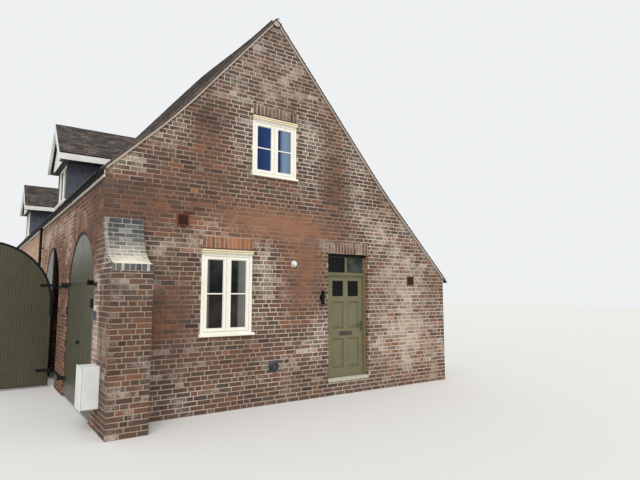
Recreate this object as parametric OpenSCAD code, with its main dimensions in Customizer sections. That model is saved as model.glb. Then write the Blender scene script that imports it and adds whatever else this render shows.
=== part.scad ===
// Brick coach house range with a tall plain gable, a long right slope and two arched gateways.
// X runs along the gable from the left corner, Y runs back along the left side wall, Z is up.
// The origin is the foot of the left front corner, at the lowest ground beside the house.

/* [House] */
// Width of the gable, outside face to outside face
house_w = 7550; // [7000:10:8200]
// Length of the range, from the gable to the far party wall
house_len = 15600; // [14600:10:17000]
// Height of the entrance floor above the lowest ground
floor_z = 320; // [200:10:420]
// Thickness of the outside walls
wall_t = 330; // [300:5:350]
// Distance of the ridge from the left side wall
ridge_x = 2966; // [2900:2:3050]
// Rise of the ridge behind the gable, where the old roof stands higher
ridge_lift = 170; // [0:5:200]
// Distance behind the gable at which the ridge has its full rise
lift_y = 4000; // [3000:50:5000]

/* [Roof] */
// Height of the tile surface at the left wall's face over the entrance floor
eaves_h = 3615; // [3500:5:3750]
// Distance from the left wall at which the left slope flattens
left_kick_x = 1100; // [900:10:1300]
// Steep pitch of the left slope at the gable
left_pitch = 50.4; // [49:0.1:51.5]
// Distance from the left wall at which the right slope flattens
right_kick_x = 5670; // [5400:10:5900]
// Steep pitch of the right slope at the gable
right_pitch = 48.5; // [47.5:0.1:49.5]
// Flatter pitch near both eaves
eaves_pitch = 44.6; // [43:0.1:46]
// Half length of the soft bend between the two pitches
bend_half = 350; // [200:10:500]
// Thickness of the tiled roof, measured upright
roof_t = 130; // [110:5:160]
// Reach of the tiles past the side walls
eaves_out = 60; // [40:5:80]
// Thickness of the tile edge over the gutter, measured upright
tile_edge = 45; // [35:1:60]
// Reach of the verge past the gable
verge_out = 40; // [25:1:60]
// Thickness of the tiles at the verge, measured upright
verge_tile_t = 22; // [15:1:30]
// Depth of the mortar bed under the verge tiles, measured upright
bed_h = 48; // [35:1:60]
// Radius of the half round ridge tiles
ridge_tile_r = 115; // [95:1:130]

/* [Gateways] */
// Distance from the gable to the first arch
arch_y = 400; // [380:5:450]
// Clear width of each arch
arch_w = 2570; // [2400:10:2700]
// Distance from one arch to the next
arch_pitch = 3700; // [3600:10:3900]
// Height of the crown of the arches over the entrance floor
arch_crown = 2755; // [2650:5:2850]
// Depth of the ring of bricks round each arch
ring_d = 225; // [200:5:235]
// Thickness of a gate leaf's boards
leaf_t = 32; // [25:1:40]
// Depth of the steel frame behind the boards
rail_d = 30; // [25:1:40]
// Width of the steel frame's bars
rail_w = 50; // [40:1:60]
// Width of the rim of the steel frame that shows round the boards
rim_w = 18; // [12:1:25]
// Gap between a gate leaf and the arch
leaf_gap = 10; // [8:1:14]
// Gap between the two leaves of a gateway
meet_gap = 14; // [13:1:18]
// Distance from the wall face to the face of a closed leaf
leaf_set = 12; // [8:1:20]
// Height of the foot of the leaves over the lowest ground
leaf_foot = 40; // [30:5:80]
// Stand of the hinge pins in front of the wall
pin_out = 95; // [80:1:110]
// Radius of a hinge pin
pin_r = 9; // [7:0.5:10]
// Height of the upper hinges over the entrance floor
hinge_top = 1830; // [1750:10:1900]
// Height of the lower hinges over the entrance floor
hinge_low = 40; // [20:10:200]

/* [Front door] */
// Distance from the left corner to the doorway
door_x = 4210; // [4150:10:4300]
// Width of the doorway
door_w = 1030; // [1000:5:1080]
// Height of the doorway over the entrance floor
door_h = 2455; // [2400:5:2500]
// Height of the door leaf
door_leaf_h = 2000; // [1950:5:2050]
// Thickness of the door leaf
door_leaf_t = 44; // [40:1:50]
// Depth of the door frame
door_frame_d = 70; // [60:5:90]
// Width of the door jambs
door_jamb = 58; // [50:1:65]
// Distance from the wall face to the door frame
door_set = 80; // [60:5:120]
// Gap round the door leaf
door_gap = 7; // [6:0.5:8]
// Height of the door's lever handle over the foot of the leaf
door_handle_h = 1010; // [950:5:1060]
// Radius of the knuckles of the door's hinges
door_knuckle_r = 8; // [7:0.5:9]

/* [Windows] */
// Distance from the left corner to the ground floor window
low_win_x = 1580; // [1500:10:1650]
// Width of both windows
win_w = 960; // [900:10:1000]
// Height of the sill of the ground floor window over the entrance floor
low_win_z = 950; // [900:10:1000]
// Height of the ground floor window
low_win_h = 1400; // [1350:10:1450]
// Distance from the left corner to the upper window
high_win_x = 2500; // [2450:10:2550]
// Height of the sill of the upper window over the entrance floor
high_win_z = 3820; // [3780:10:3860]
// Height of the upper window
high_win_h = 1060; // [1000:10:1100]
// Width of the fixed window frame
frame_w = 50; // [40:1:60]
// Width of the opening casement's frame
sash_w = 52; // [45:1:60]
// Depth of the window frames
frame_d = 90; // [75:1:110]
// Height of the moulding over each window
drip_h = 60; // [50:1:70]
// Height of the upright brick course over the openings
soldier_h = 225; // [210:1:235]

/* [Dormers] */
// Distance from the gable to the middle of the first dormer
dormer_y = 4550; // [4400:10:4700]
// Distance from one dormer to the next
dormer_pitch = 7850; // [7600:10:7900]
// Width of a dormer over its cheeks
dormer_w = 1200; // [1100:10:1300]
// Width of a dormer's roof
dormer_roof_w = 1780; // [1700:10:1850]
// Height of the sill of a dormer's window over the tiles at the wall face
dormer_sill_h = 85; // [75:5:130]
// Height of a dormer's window
dormer_win_h = 870; // [820:10:900]
// Height from the head of a dormer's window to the edge of its roof
dormer_head_h = 110; // [95:5:130]
// Rise of a dormer's roof from its edge to its ridge
dormer_rise = 840; // [780:10:900]
// Reach of a dormer's roof past its window
dormer_out = 190; // [150:5:230]
// Thickness of a dormer's roof, measured upright
dormer_roof_t = 90; // [75:5:110]
// Thickness of a dormer's cheeks
cheek_t = 70; // [60:5:90]
// Radius of the ridge tiles of a dormer
dormer_tile_r = 80; // [65:5:95]

/* [Buttress] */
// Width of the corner buttress
butt_w = 575; // [540:5:610]
// Reach of the buttress from the gable
butt_out = 700; // [650:10:750]
// Height of the foot of the curved weathering over the entrance floor
butt_low = 2080; // [2000:10:2150]
// Height of the top of the curved weathering over the entrance floor
butt_top = 2800; // [2750:10:2850]
// Height of the blue brick band under the weathering
band_h = 105; // [90:5:120]

/* [Fittings] */
// Radius of the half round gutter
gutter_r = 56; // [50:1:65]
// Radius of the rainwater pipe
pipe_r = 34; // [30:1:40]
// Distance from the gable to the rainwater pipe
pipe_y = 7350; // [7200:10:7500]
// Height of the board behind the gutter
fascia_h = 165; // [130:5:180]
// Thickness of the board behind the gutter
fascia_t = 22; // [18:1:25]
// Width of the meter box
meter_w = 390; // [350:10:420]
// Height of the meter box
meter_h = 590; // [550:10:620]
// Depth of the meter box
meter_d = 250; // [220:5:270]
// Reach of the meter box from the side wall past the gable
meter_out = 270; // [240:5:290]
// Height of the foot of the meter box over the entrance floor
meter_z = 30; // [20:5:60]
// Distance from the lamp to the doorway
lamp_in = 176; // [150:2:200]
// Height of the foot of the lamp over the entrance floor
lamp_z = 1450; // [1400:10:1600]
// Height of the lamp
lamp_h = 260; // [220:10:300]
// Radius of the lamp
lamp_r = 38; // [30:1:45]
// Distance from the left corner to the outlet low on the gable
outlet_x = 2911; // [2850:1:2950]
// Height of the middle of the outlet over the entrance floor
outlet_z = 361; // [300:1:450]
// Radius of the outlet
outlet_r = 92; // [80:1:100]
// Reach of the outlet from the gable
outlet_out = 70; // [50:5:90]
// Width and height of the air bricks
air_brick_w = 200; // [180:5:220]
// Reach of the air bricks from the gable
air_brick_out = 22; // [10:1:30]
// Distance from the left corner to the left air brick
left_vent_x = 1234; // [1200:1:1300]
// Height of the middle of the left air brick over the entrance floor
left_vent_z = 2868; // [2800:1:2900]
// Distance from the right corner to the right air brick
right_vent_in = 1077; // [1000:1:1150]
// Height of the middle of the right air brick over the entrance floor
right_vent_z = 1934; // [1880:1:1980]
// Distance from the left corner to the dome sensor
dome_x = 3408; // [3350:1:3450]
// Height of the dome sensor over the entrance floor
dome_z = 2211; // [2150:1:2260]
// Radius of the dome sensor at the wall
dome_r = 62; // [50:1:70]
// Radius of the face of the dome sensor
dome_tip_r = 38; // [30:1:45]
// Reach of the dome sensor from the gable
dome_out = 60; // [45:1:70]
// Distance from the gable to the key pad
key_pad_y = 190; // [150:5:220]
// Height of the foot of the key pad over the entrance floor
key_pad_z = 1250; // [1150:10:1300]
// Width of the key pad
key_pad_w = 100; // [80:5:110]
// Height of the key pad
key_pad_h = 140; // [120:5:160]
// Reach of the key pad from the side wall
key_pad_d = 60; // [40:5:70]
// Thickness of the upper floor
upper_floor_t = 220; // [180:10:260]
// Height of the upper floor's surface over the entrance floor
upper_floor_z = 3000; // [2980:10:3060]
// Thickness of the entrance floor
ground_floor_t = 150; // [100:10:180]

/* [Hidden] */
$fn = 48;

brick = "#8a5a48";
orange_brick = "#b5623c";
blue_brick = "#5f6672";
tile = "#5b4a42";
cream = "#efe8d2";
white = "#f2f1ec";
olive = "#77785a";
gate_olive = "#55563f";
slate = "#3d4149";
iron = "#1d1d1f";
mortar = "#bfae9a";
glass_tint = "#8fa2ad";
boards = "#9b8a72";

inside_w = house_w - wall_t;
inside_len = house_len - wall_t;
arch_r = arch_w / 2;
spring_z = floor_z + arch_crown - arch_r;
arch_mid = [arch_y + arch_r, arch_y + arch_pitch + arch_r];
dormer_mid = [dormer_y, dormer_y + dormer_pitch];
dormer_reach = dormer_out + ridge_x - left_kick_x;
eaves_z = floor_z + eaves_h;
left_kick_z = eaves_z + left_kick_x * tan(eaves_pitch);
ridge_z = left_kick_z + (ridge_x - left_kick_x) * tan(left_pitch);
right_kick_z = ridge_z - (right_kick_x - ridge_x) * tan(right_pitch);
head_z = floor_z + door_h;
far_y = house_len;
eps = 1;
seat = 0.3;
cut_out = dormer_out + tile_edge + 2 * gutter_r;

// Rise of the ridge at a distance behind the gable
function ease(t) = t * t * (3 - 2 * t);
function lift(y) = ridge_lift * ease(min(1, max(0, (y - wall_t) / (lift_y - wall_t))));

// Height of a slope at a run from its eaves: flat pitch, soft bend, steep pitch up to the ridge
function slope_z(run, kick_run, ridge_run, kick_z, top_z) =
    let (flat = tan(eaves_pitch), steep = (top_z - kick_z) / (ridge_run - kick_run), d = run - kick_run)
    d <= -bend_half ? kick_z + flat * d
    : d >= bend_half ? kick_z + steep * d
    : kick_z + flat * d + (steep - flat) * pow(d + bend_half, 2) / (4 * bend_half);
function left_z(x, y) = slope_z(x, left_kick_x, ridge_x, left_kick_z, ridge_z + lift(y));
function right_z(x, y) =
    slope_z(house_w - x, house_w - right_kick_x, house_w - ridge_x, right_kick_z, ridge_z + lift(y));
function roof_z(x, y) = x < ridge_x ? left_z(x, y) : right_z(x, y);

bend_steps = [-1, -0.5, 0, 0.5, 1];
left_runs = concat([for (s = bend_steps) left_kick_x + s * bend_half], [ridge_x - ridge_tile_r, ridge_x]);
right_runs = concat([for (s = bend_steps) right_kick_x - s * bend_half], [ridge_x + ridge_tile_r, ridge_x]);
lift_steps = 6;
stations = concat([for (i = [0 : lift_steps]) wall_t + (lift_y - wall_t) * i / lift_steps], [far_y]);

// Triangles of a sweep's flat end: a fan from one point, or a strip between its two long sides
function end_faces(n, hub) = is_undef(hub) ?
    [for (i = [0 : ceil(n / 2) - 2])
        each [[i, i + 1, n - 2 - i], [i, n - 2 - i, n - 1 - i]]] :
    [for (i = [1 : n - 2]) [hub, (hub + i) % n, (hub + i + 1) % n]];

// Solid swept through outlines that share one number of points; the last strip can be split the other way
module swept(outlines, flip = false, turn_last = false, hub = undef) {
    n = len(outlines[0]);
    m = len(outlines);
    points = [for (o = outlines, p = o) p];
    first = end_faces(n, hub);
    last = [for (f = first) [for (i = [len(f) - 1 : -1 : 0]) (m - 1) * n + f[i]]];
    sides = [
        for (k = [0 : m - 2], i = [0 : n - 1])
            let (j = (i + 1) % n, f = [k * n + i, (k + 1) * n + i, (k + 1) * n + j, k * n + j])
            turn_last && i == n - 1 ? [f[1], f[2], f[3], f[0]] : f
    ];
    triangles = [for (f = sides) each [[f[0], f[1], f[2]], [f[0], f[2], f[3]]]];
    faces = concat(first, triangles, last);
    turned = [for (f = faces) [for (i = [len(f) - 1 : -1 : 0]) f[i]]];
    polyhedron(points, flip ? turned : faces, convexity = 8);
}

// Everything under the tile surface of one slope, used to cut what stands on it
module under_left(y0, y1) {
    xs = concat([-cut_out], left_runs);
    ys = concat([y0], [for (y = stations) if (y > y0 && y < y1) y], [y1]);
    swept([
        for (y = ys)
            concat([for (x = xs) [x, y, roof_z(x, y) + seat]], [[ridge_x, y, 0], [-cut_out, y, 0]])
    ], hub = len(xs));
}

// Upright wall panel in the gable's plane from an outline in X and Z
module gable_panel(points, y0 = 0, t = wall_t) {
    translate([0, y0 + t, 0])
        rotate([90, 0, 0])
            linear_extrude(t)
                polygon(points);
}

// Upright wall panel in the side wall's plane from an outline in Y and Z
module side_panel(x0, t) {
    translate([x0, 0, 0])
        rotate([90, 0, 90])
            linear_extrude(t)
                children();
}

module box(low, high) {
    translate(low)
        cube(high - low);
}

// Top of a wall under the roof, from left to right, at a depth under the tile surface
function wall_top(x0, x1, y, depth) = concat(
    [[x0, roof_z(x0, y) - depth]],
    [for (x = left_runs) if (x > x0 && x < x1) [x, roof_z(x, y) - depth]],
    [for (i = [len(right_runs) - 2 : -1 : 0]) if (right_runs[i] > x0 && right_runs[i] < x1)
        [right_runs[i], roof_z(right_runs[i], y) - depth]],
    [[x1, roof_z(x1, y) - depth]]);

// Masonry

module gable_face(x0, x1, z0, z1) {
    intersection() {
        polygon(concat([[0, 0]], wall_top(0, house_w, 0, verge_tile_t + seat), [[house_w, 0]]));
        union() {
            translate([x0, z0])
                square([x1 - x0, z1 - z0]);
            if (z0 > 0)
                polygon([
                    [0, roof_z(0, 0) - roof_t],
                    [wall_t, roof_z(wall_t, 0) - roof_t],
                    [wall_t, z1],
                    [0, z1]
                ]);
            if (z0 > 0)
                polygon([
                    [inside_w, roof_z(inside_w, 0) - roof_t],
                    [house_w, roof_z(house_w, 0) - roof_t],
                    [house_w, z1],
                    [inside_w, z1]
                ]);
        }
    }
}

module window_holes() {
    translate([low_win_x, floor_z + low_win_z])
        square([win_w, low_win_h + drip_h]);
    translate([high_win_x, floor_z + high_win_z])
        square([win_w, high_win_h + drip_h]);
}

module soldier_faces() {
    translate([low_win_x, floor_z + low_win_z + low_win_h + drip_h])
        square([win_w, soldier_h]);
    translate([high_win_x, floor_z + high_win_z + high_win_h + drip_h])
        square([win_w, soldier_h]);
    translate([door_x, head_z])
        square([door_w, soldier_h]);
}

module gable_masonry(x0, x1, z0, z1) {
    translate([0, wall_t, 0])
        rotate([90, 0, 0])
            linear_extrude(wall_t)
                difference() {
                    gable_face(x0, x1, z0, z1);
                    window_holes();
                    soldier_faces();
                }
}

module front_wall_left() {
    color(brick)
        gable_masonry(wall_t, door_x, 0, head_z);
}

module front_wall_right() {
    color(brick)
        gable_masonry(door_x + door_w, inside_w, 0, head_z);
}

module front_gable() {
    color(brick)
        gable_masonry(wall_t, inside_w, head_z, 2 * ridge_z);
}

module soldier_courses() {
    color(orange_brick)
        translate([0, wall_t, 0])
            rotate([90, 0, 0])
                linear_extrude(wall_t)
                    soldier_faces();
}

module door_sill() {
    color(mortar)
        box([door_x, 0, 0], [door_x + door_w, wall_t, floor_z]);
}

module buttress() {
    color(brick)
        box([0, -butt_out, 0], [butt_w, 0, floor_z + butt_low - band_h]);
}

// Curved weathering: a quarter ellipse from the band up to a narrow ledge at the wall
module buttress_weathering() {
    ledge = 100;
    reach = butt_out - ledge;
    rise = butt_top - butt_low;
    curve = [for (a = [0 : 7.5 : 90]) [-ledge - reach * (1 - cos(a)), floor_z + butt_top - rise * sin(a)]];
    color(blue_brick)
        side_panel(0, butt_w)
            polygon(concat([[0, floor_z + butt_top]], curve,
                [[-butt_out, floor_z + butt_low - band_h], [0, floor_z + butt_low - band_h]]));
}

// Left side wall between two distances from the gable, its top cut to the roof
module left_wall_prism(y0, y1, z0) {
    gable_panel([
        [0, z0],
        [0, roof_z(0, 0) - roof_t - seat],
        [wall_t, roof_z(wall_t, 0) - roof_t - seat],
        [wall_t, z0]
    ], y0, y1 - y0);
}

module side_wall_piers() {
    color(brick) {
        box([0, 0, 0], [wall_t, arch_y, spring_z]);
        box([0, arch_y + arch_w, 0], [wall_t, arch_y + arch_pitch, spring_z]);
        box([0, arch_y + arch_pitch + arch_w, 0], [wall_t, pipe_y, spring_z]);
    }
}

module side_wall_arcade() {
    color(brick)
        difference() {
            left_wall_prism(0, pipe_y, spring_z);
            for (y = arch_mid)
                translate([-eps, y, spring_z])
                    rotate([0, 90, 0])
                        cylinder(r = arch_r + ring_d, h = wall_t + 2 * eps, $fn = 96);
        }
}

module arch_ring(y) {
    color(orange_brick)
        side_panel(0, wall_t)
            difference() {
                intersection() {
                    translate([y, spring_z])
                        circle(arch_r + ring_d, $fn = 96);
                    translate([max(0, y - arch_r - ring_d), spring_z])
                        square([2 * (arch_r + ring_d), arch_r + ring_d]);
                }
                translate([y, spring_z])
                    circle(arch_r, $fn = 96);
            }
}

module arch_rings() {
    for (y = arch_mid)
        arch_ring(y);
}

module side_wall_back() {
    color(orange_brick)
        left_wall_prism(pipe_y, far_y, 0);
}

module right_wall() {
    color(brick)
        gable_panel([
            [inside_w, 0],
            [inside_w, roof_z(inside_w, 0) - roof_t - seat],
            [house_w, roof_z(house_w, 0) - roof_t - seat],
            [house_w, 0]
        ], 0, far_y);
}

module party_wall() {
    color(brick)
        gable_panel(
            concat([[wall_t, 0]], wall_top(wall_t, inside_w, far_y, roof_t + seat), [[inside_w, 0]]),
            inside_len, wall_t);
}

module ground_floor() {
    color(mortar)
        box([wall_t, wall_t, floor_z - ground_floor_t], [inside_w, inside_len, floor_z]);
}

// Upper floor, its right edge cut under the slope
module upper_floor() {
    z1 = floor_z + upper_floor_z;
    z0 = z1 - upper_floor_t;
    edge_top = right_kick_x + (right_z(right_kick_x, 0) - roof_t - z1) / tan(eaves_pitch) - 60;
    edge_low = edge_top + upper_floor_t / tan(eaves_pitch);
    color(boards)
        gable_panel([[wall_t, z0], [wall_t, z1], [edge_top, z1], [edge_low, z0]], wall_t, inside_len - wall_t);
}

// Roof

// Outline of a slope in X and Z: the tile surface, the underside, and the tile edge past the wall
function roof_outline(runs, wall_x, tip_x, y, depth) = concat(
    [[tip_x, roof_z(tip_x, y)]],
    [for (x = runs) [x, roof_z(x, y)]],
    [for (i = [len(runs) - 1 : -1 : 0]) [runs[i], roof_z(runs[i], y) - depth]],
    [[wall_x, roof_z(wall_x, y) - depth]],
    [[wall_x, roof_z(wall_x, y) - tile_edge]],
    [[tip_x, roof_z(tip_x, y) - tile_edge]]);

// One slope behind the gable, its ridge rising with the distance
module slope(runs, wall_x, tip_x, flip) {
    swept([
        for (y = stations)
            [for (p = roof_outline(runs, wall_x, tip_x, y, roof_t)) [p[0], y, p[1]]]
    ], flip);
}

module dormer_hole(y) {
    clear = dormer_w / 2 - cheek_t;
    translate([dormer_back, y - clear, floor_z])
        cube([left_kick_x - dormer_back, 2 * clear, ridge_z]);
}

module roof_left() {
    color(tile)
        difference() {
            slope(left_runs, 0, -eaves_out, false);
            for (y = dormer_mid)
                dormer_hole(y);
        }
}

module roof_right() {
    color(tile)
        slope(right_runs, house_w, house_w + eaves_out, true);
}

// Tiles laid over the gable wall and past it, with no rafters under them
module verge_tiles() {
    color(tile) {
        gable_panel(roof_outline(left_runs, 0, -eaves_out, 0, verge_tile_t), -verge_out, wall_t + verge_out);
        gable_panel(roof_outline(right_runs, house_w, house_w + eaves_out, 0, verge_tile_t),
            -verge_out, wall_t + verge_out);
    }
}

// Section of the half round ridge tile, seated on both slopes
function ridge_section(y) =
    let (top = ridge_z + lift(y) + seat, drop = 0.55 * ridge_tile_r)
    concat(
        [[ridge_x - ridge_tile_r, y, roof_z(ridge_x - ridge_tile_r, y) + seat]],
        [for (a = [180 : -20 : 0])
            [ridge_x + ridge_tile_r * cos(a), y, top - drop + ridge_tile_r * sin(a)]],
        [[ridge_x + ridge_tile_r, y, roof_z(ridge_x + ridge_tile_r, y) + seat]],
        [[ridge_x, y, top]]);

module dormer_ridge(y) {
    r = dormer_tile_r;
    foot = dormer_ridge_z + seat - r * dormer_fall;
    difference() {
        side_panel(-dormer_out, dormer_reach)
            polygon(concat(
                [[y - r, foot]],
                [for (a = [180 : -20 : 0]) [y + r * cos(a), dormer_ridge_z - r / 2 + r * sin(a)]],
                [[y + r, foot], [y, dormer_ridge_z + seat]]));
        under_left(y - dormer_w, y + dormer_w);
    }
}

module ridge_tiles() {
    color(tile) {
        swept([for (y = concat([-verge_out], stations)) ridge_section(y)], false, true,
            len(ridge_section(0)) - 1);
        for (y = dormer_mid)
            dormer_ridge(y);
    }
}

// Mortar bed under the verge tiles, up one slope of the gable
module mortar_bed(runs, foot_x) {
    upper = concat([foot_x], runs);
    inset = 8;
    gable_panel(concat(
        [for (x = upper) [x, roof_z(x, 0) - verge_tile_t - seat]],
        [for (i = [len(upper) - 1 : -1 : 0]) [upper[i], roof_z(upper[i], 0) - verge_tile_t - bed_h]]),
        inset - verge_out, verge_out - inset);
}

module verge_mortar() {
    color(mortar) {
        mortar_bed(left_runs, 0);
        mortar_bed(right_runs, house_w);
    }
}

// Dormers

dormer_face = 20;
dormer_frame_d = 70;
dormer_back = dormer_face + dormer_frame_d;
dormer_sill_z = eaves_z + dormer_sill_h;
dormer_head_z = dormer_sill_z + dormer_win_h;
dormer_eaves_z = dormer_head_z + dormer_head_h;
dormer_ridge_z = dormer_eaves_z + dormer_rise;
dormer_fall = dormer_rise / (dormer_roof_w / 2);

// Underside of a dormer's roof at a distance from its middle
function dormer_under(offset) = dormer_ridge_z - dormer_roof_t - seat - offset * dormer_fall;

module dormer_roof(y) {
    half = dormer_roof_w / 2;
    color(tile)
        difference() {
            side_panel(-dormer_out, dormer_reach)
                polygon([
                    [y - half, dormer_eaves_z],
                    [y, dormer_ridge_z],
                    [y + half, dormer_eaves_z],
                    [y + half, dormer_eaves_z - dormer_roof_t],
                    [y, dormer_ridge_z - dormer_roof_t],
                    [y - half, dormer_eaves_z - dormer_roof_t]
                ]);
            under_left(y - dormer_w, y + dormer_w);
        }
}

module dormer_roofs() {
    for (y = dormer_mid)
        dormer_roof(y);
}

// Two slate hung cheeks and the small gable over the window
module dormer_body(y) {
    outer = dormer_w / 2;
    inner = outer - cheek_t;
    gable_x = 30;
    gable_t = 50;
    color(slate)
        difference() {
            union() {
                for (s = [-1, 1])
                    side_panel(0, dormer_reach - dormer_out)
                        polygon([
                            [y + s * outer, floor_z],
                            [y + s * outer, dormer_under(outer)],
                            [y + s * inner, dormer_under(inner)],
                            [y + s * inner, floor_z]
                        ]);
                side_panel(gable_x, gable_t)
                    polygon([
                        [y - outer, dormer_head_z],
                        [y - outer, dormer_under(outer)],
                        [y, dormer_under(0)],
                        [y + outer, dormer_under(outer)],
                        [y + outer, dormer_head_z]
                    ]);
            }
            under_left(y - dormer_w, y + dormer_w);
        }
}

module dormer_cheeks() {
    for (y = dormer_mid)
        dormer_body(y);
}

board_t = 20;
barge_h = 140;
dormer_fascia_h = 115;

// Bargeboards on the front of a dormer's roof and a fascia under each edge
module dormer_board_set(y) {
    half = dormer_roof_w / 2;
    fascia_low = dormer_eaves_z - dormer_roof_t - dormer_fascia_h;
    side_panel(-dormer_out - board_t, board_t)
        polygon([
            [y - half, dormer_eaves_z],
            [y, dormer_ridge_z],
            [y + half, dormer_eaves_z],
            [y + half, dormer_eaves_z - barge_h],
            [y, dormer_ridge_z - barge_h],
            [y - half, dormer_eaves_z - barge_h]
        ]);
    for (s = [-1, 1])
        difference() {
            translate([-dormer_out, y + s * (half - board_t / 2) - board_t / 2, fascia_low])
                cube([dormer_reach, board_t, dormer_fascia_h]);
            under_left(y - dormer_w, y + dormer_w);
        }
}

module dormer_boards() {
    color(white)
        for (y = dormer_mid)
            dormer_board_set(y);
}

// Joinery

window_set = 12;
post_w = 26;
light_w = (win_w - 2 * frame_w - post_w) / 2;
pane_set = 24;
pane_t = 6;
transom_h = 62;
fan_bar = 34;
sill_out = 50;

// Frame of bars round a rectangle in the gable's plane, from the front face back
module bar_frame(x, z, w, h, bar, y, d) {
    translate([x, y + d, z])
        rotate([90, 0, 0])
            linear_extrude(d)
                difference() {
                    square([w, h]);
                    translate([bar, bar])
                        square([w - 2 * bar, h - 2 * bar]);
                }
}

// Fixed frame with a middle post and two casements, each with one glazing bar
module casement_window(x, z, h) {
    sash_d = 50;
    glazing = 22;
    color(cream) {
        difference() {
            box([x, window_set, z], [x + win_w, window_set + frame_d, z + h]);
            for (i = [0, 1])
                translate([x + frame_w + i * (light_w + post_w), 0, z + frame_w])
                    cube([light_w, 2 * frame_d + window_set, h - 2 * frame_w]);
        }
        for (i = [0, 1]) {
            lx = x + frame_w + i * (light_w + post_w);
            bar_frame(lx, z + frame_w, light_w, h - 2 * frame_w, sash_w, window_set + 4, sash_d);
            box([lx + sash_w, window_set + 8, z + h / 2 - glazing / 2],
                [lx + light_w - sash_w, window_set + pane_set, z + h / 2 + glazing / 2]);
        }
        window_moulding(x, z, h);
    }
}

// Moulding over a window, and its sill with an ear past each side
module window_moulding(x, z, h) {
    drip_out = 35;
    sill_h = 45;
    ear = 35;
    box([x, -drip_out, z + h], [x + win_w, window_set + frame_d, z + h + drip_h]);
    box([x - ear, -sill_out, z + frame_w / 2 - sill_h], [x + win_w + ear, 0, z + frame_w / 2]);
    box([x, -sill_out, z], [x + win_w, window_set + frame_d / 2, z + frame_w / 2]);
}

module low_window() {
    casement_window(low_win_x, floor_z + low_win_z, low_win_h);
}

module high_window() {
    casement_window(high_win_x, floor_z + high_win_z, high_win_h);
}

module pane_pair(x, z, h) {
    for (i = [0, 1])
        translate([x + frame_w + i * (light_w + post_w) + sash_w, window_set + pane_set,
                z + frame_w + sash_w])
            cube([light_w - 2 * sash_w, pane_t, h - 2 * (frame_w + sash_w)]);
}

dormer_clear = dormer_w - 2 * cheek_t;
dormer_bar = 42;
dormer_sash = 45;
dormer_light = (dormer_clear - 2 * dormer_bar - post_w) / 2;

// Frame of bars round a rectangle in the side wall's plane
module side_frame(x, y, z, w, h, bar, d) {
    side_panel(x, d)
        difference() {
            translate([y, z])
                square([w, h]);
            translate([y + bar, z + bar])
                square([w - 2 * bar, h - 2 * bar]);
        }
}

// Window of a dormer with its sill and the apron down to the tiles
module dormer_window(y) {
    x0 = dormer_face;
    y0 = y - dormer_clear / 2;
    sash_in = 4;
    sash_d = 45;
    apron_h = 200;
    ear = 15;
    difference() {
        union() {
            side_frame(x0, y0, dormer_sill_z, dormer_clear, dormer_win_h, dormer_bar, dormer_frame_d);
            side_panel(x0, dormer_frame_d)
                translate([y - post_w / 2, dormer_sill_z])
                    square([post_w, dormer_win_h]);
            for (i = [0, 1])
                side_frame(x0 + sash_in, y0 + dormer_bar + i * (dormer_light + post_w),
                    dormer_sill_z + dormer_bar, dormer_light, dormer_win_h - 2 * dormer_bar,
                    dormer_sash, sash_d);
            box([-sill_out, y0, dormer_sill_z - apron_h], [dormer_back, y0 + dormer_clear, dormer_sill_z]);
            box([-sill_out, y - dormer_w / 2 - ear, dormer_sill_z - apron_h],
                [0, y + dormer_w / 2 + ear, dormer_sill_z]);
        }
        under_left(y - dormer_w, y + dormer_w);
    }
}

module dormer_windows() {
    color(cream)
        for (y = dormer_mid)
            dormer_window(y);
}

module dormer_panes(y) {
    inset = dormer_bar + dormer_sash;
    pane_h = dormer_win_h - 2 * inset;
    for (i = [0, 1])
        translate([dormer_face + pane_set, y - dormer_clear / 2 + inset + i * (dormer_light + post_w),
                dormer_sill_z + inset])
            cube([pane_t, dormer_light - 2 * dormer_sash, pane_h]);
}

pin_clear = 0.3;
fan_z = floor_z + door_leaf_h + 2 * door_gap + transom_h;
fan_h = head_z - door_jamb - fan_z;
fan_w = door_w - 2 * door_jamb;

module window_glass() {
    color(glass_tint) {
        pane_pair(low_win_x, floor_z + low_win_z, low_win_h);
        pane_pair(high_win_x, floor_z + high_win_z, high_win_h);
        for (y = dormer_mid)
            dormer_panes(y);
        for (i = [0, 1])
            translate([door_x + door_jamb + i * (fan_w + fan_bar) / 2, door_set + pane_set, fan_z])
                cube([(fan_w - fan_bar) / 2, pane_t, fan_h]);
    }
}

// Front door

// Frame with a transom under the two fanlight panes, and stops in front of the leaf
module door_frame() {
    stop = 12;
    stop_d = door_frame_d - door_leaf_t - door_gap;
    color(olive) {
        difference() {
            box([door_x, door_set, floor_z], [door_x + door_w, door_set + door_frame_d, head_z]);
            translate([door_x + door_jamb, 0, floor_z - eps])
                cube([fan_w, wall_t, door_leaf_h + 2 * door_gap + eps]);
            translate([door_x + door_jamb, 0, fan_z])
                cube([fan_w, wall_t, fan_h]);
        }
        translate([door_x + door_w / 2 - fan_bar / 2, door_set, fan_z])
            cube([fan_bar, door_frame_d, fan_h]);
        translate([0, door_set + stop_d, 0])
            rotate([90, 0, 0])
                linear_extrude(stop_d)
                    difference() {
                        translate([door_x + door_jamb, floor_z])
                            square([fan_w, door_leaf_h + 2 * door_gap]);
                        translate([door_x + door_jamb + stop, floor_z])
                            square([fan_w - 2 * stop, door_leaf_h + 2 * door_gap - stop]);
                    }
    }
}

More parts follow.
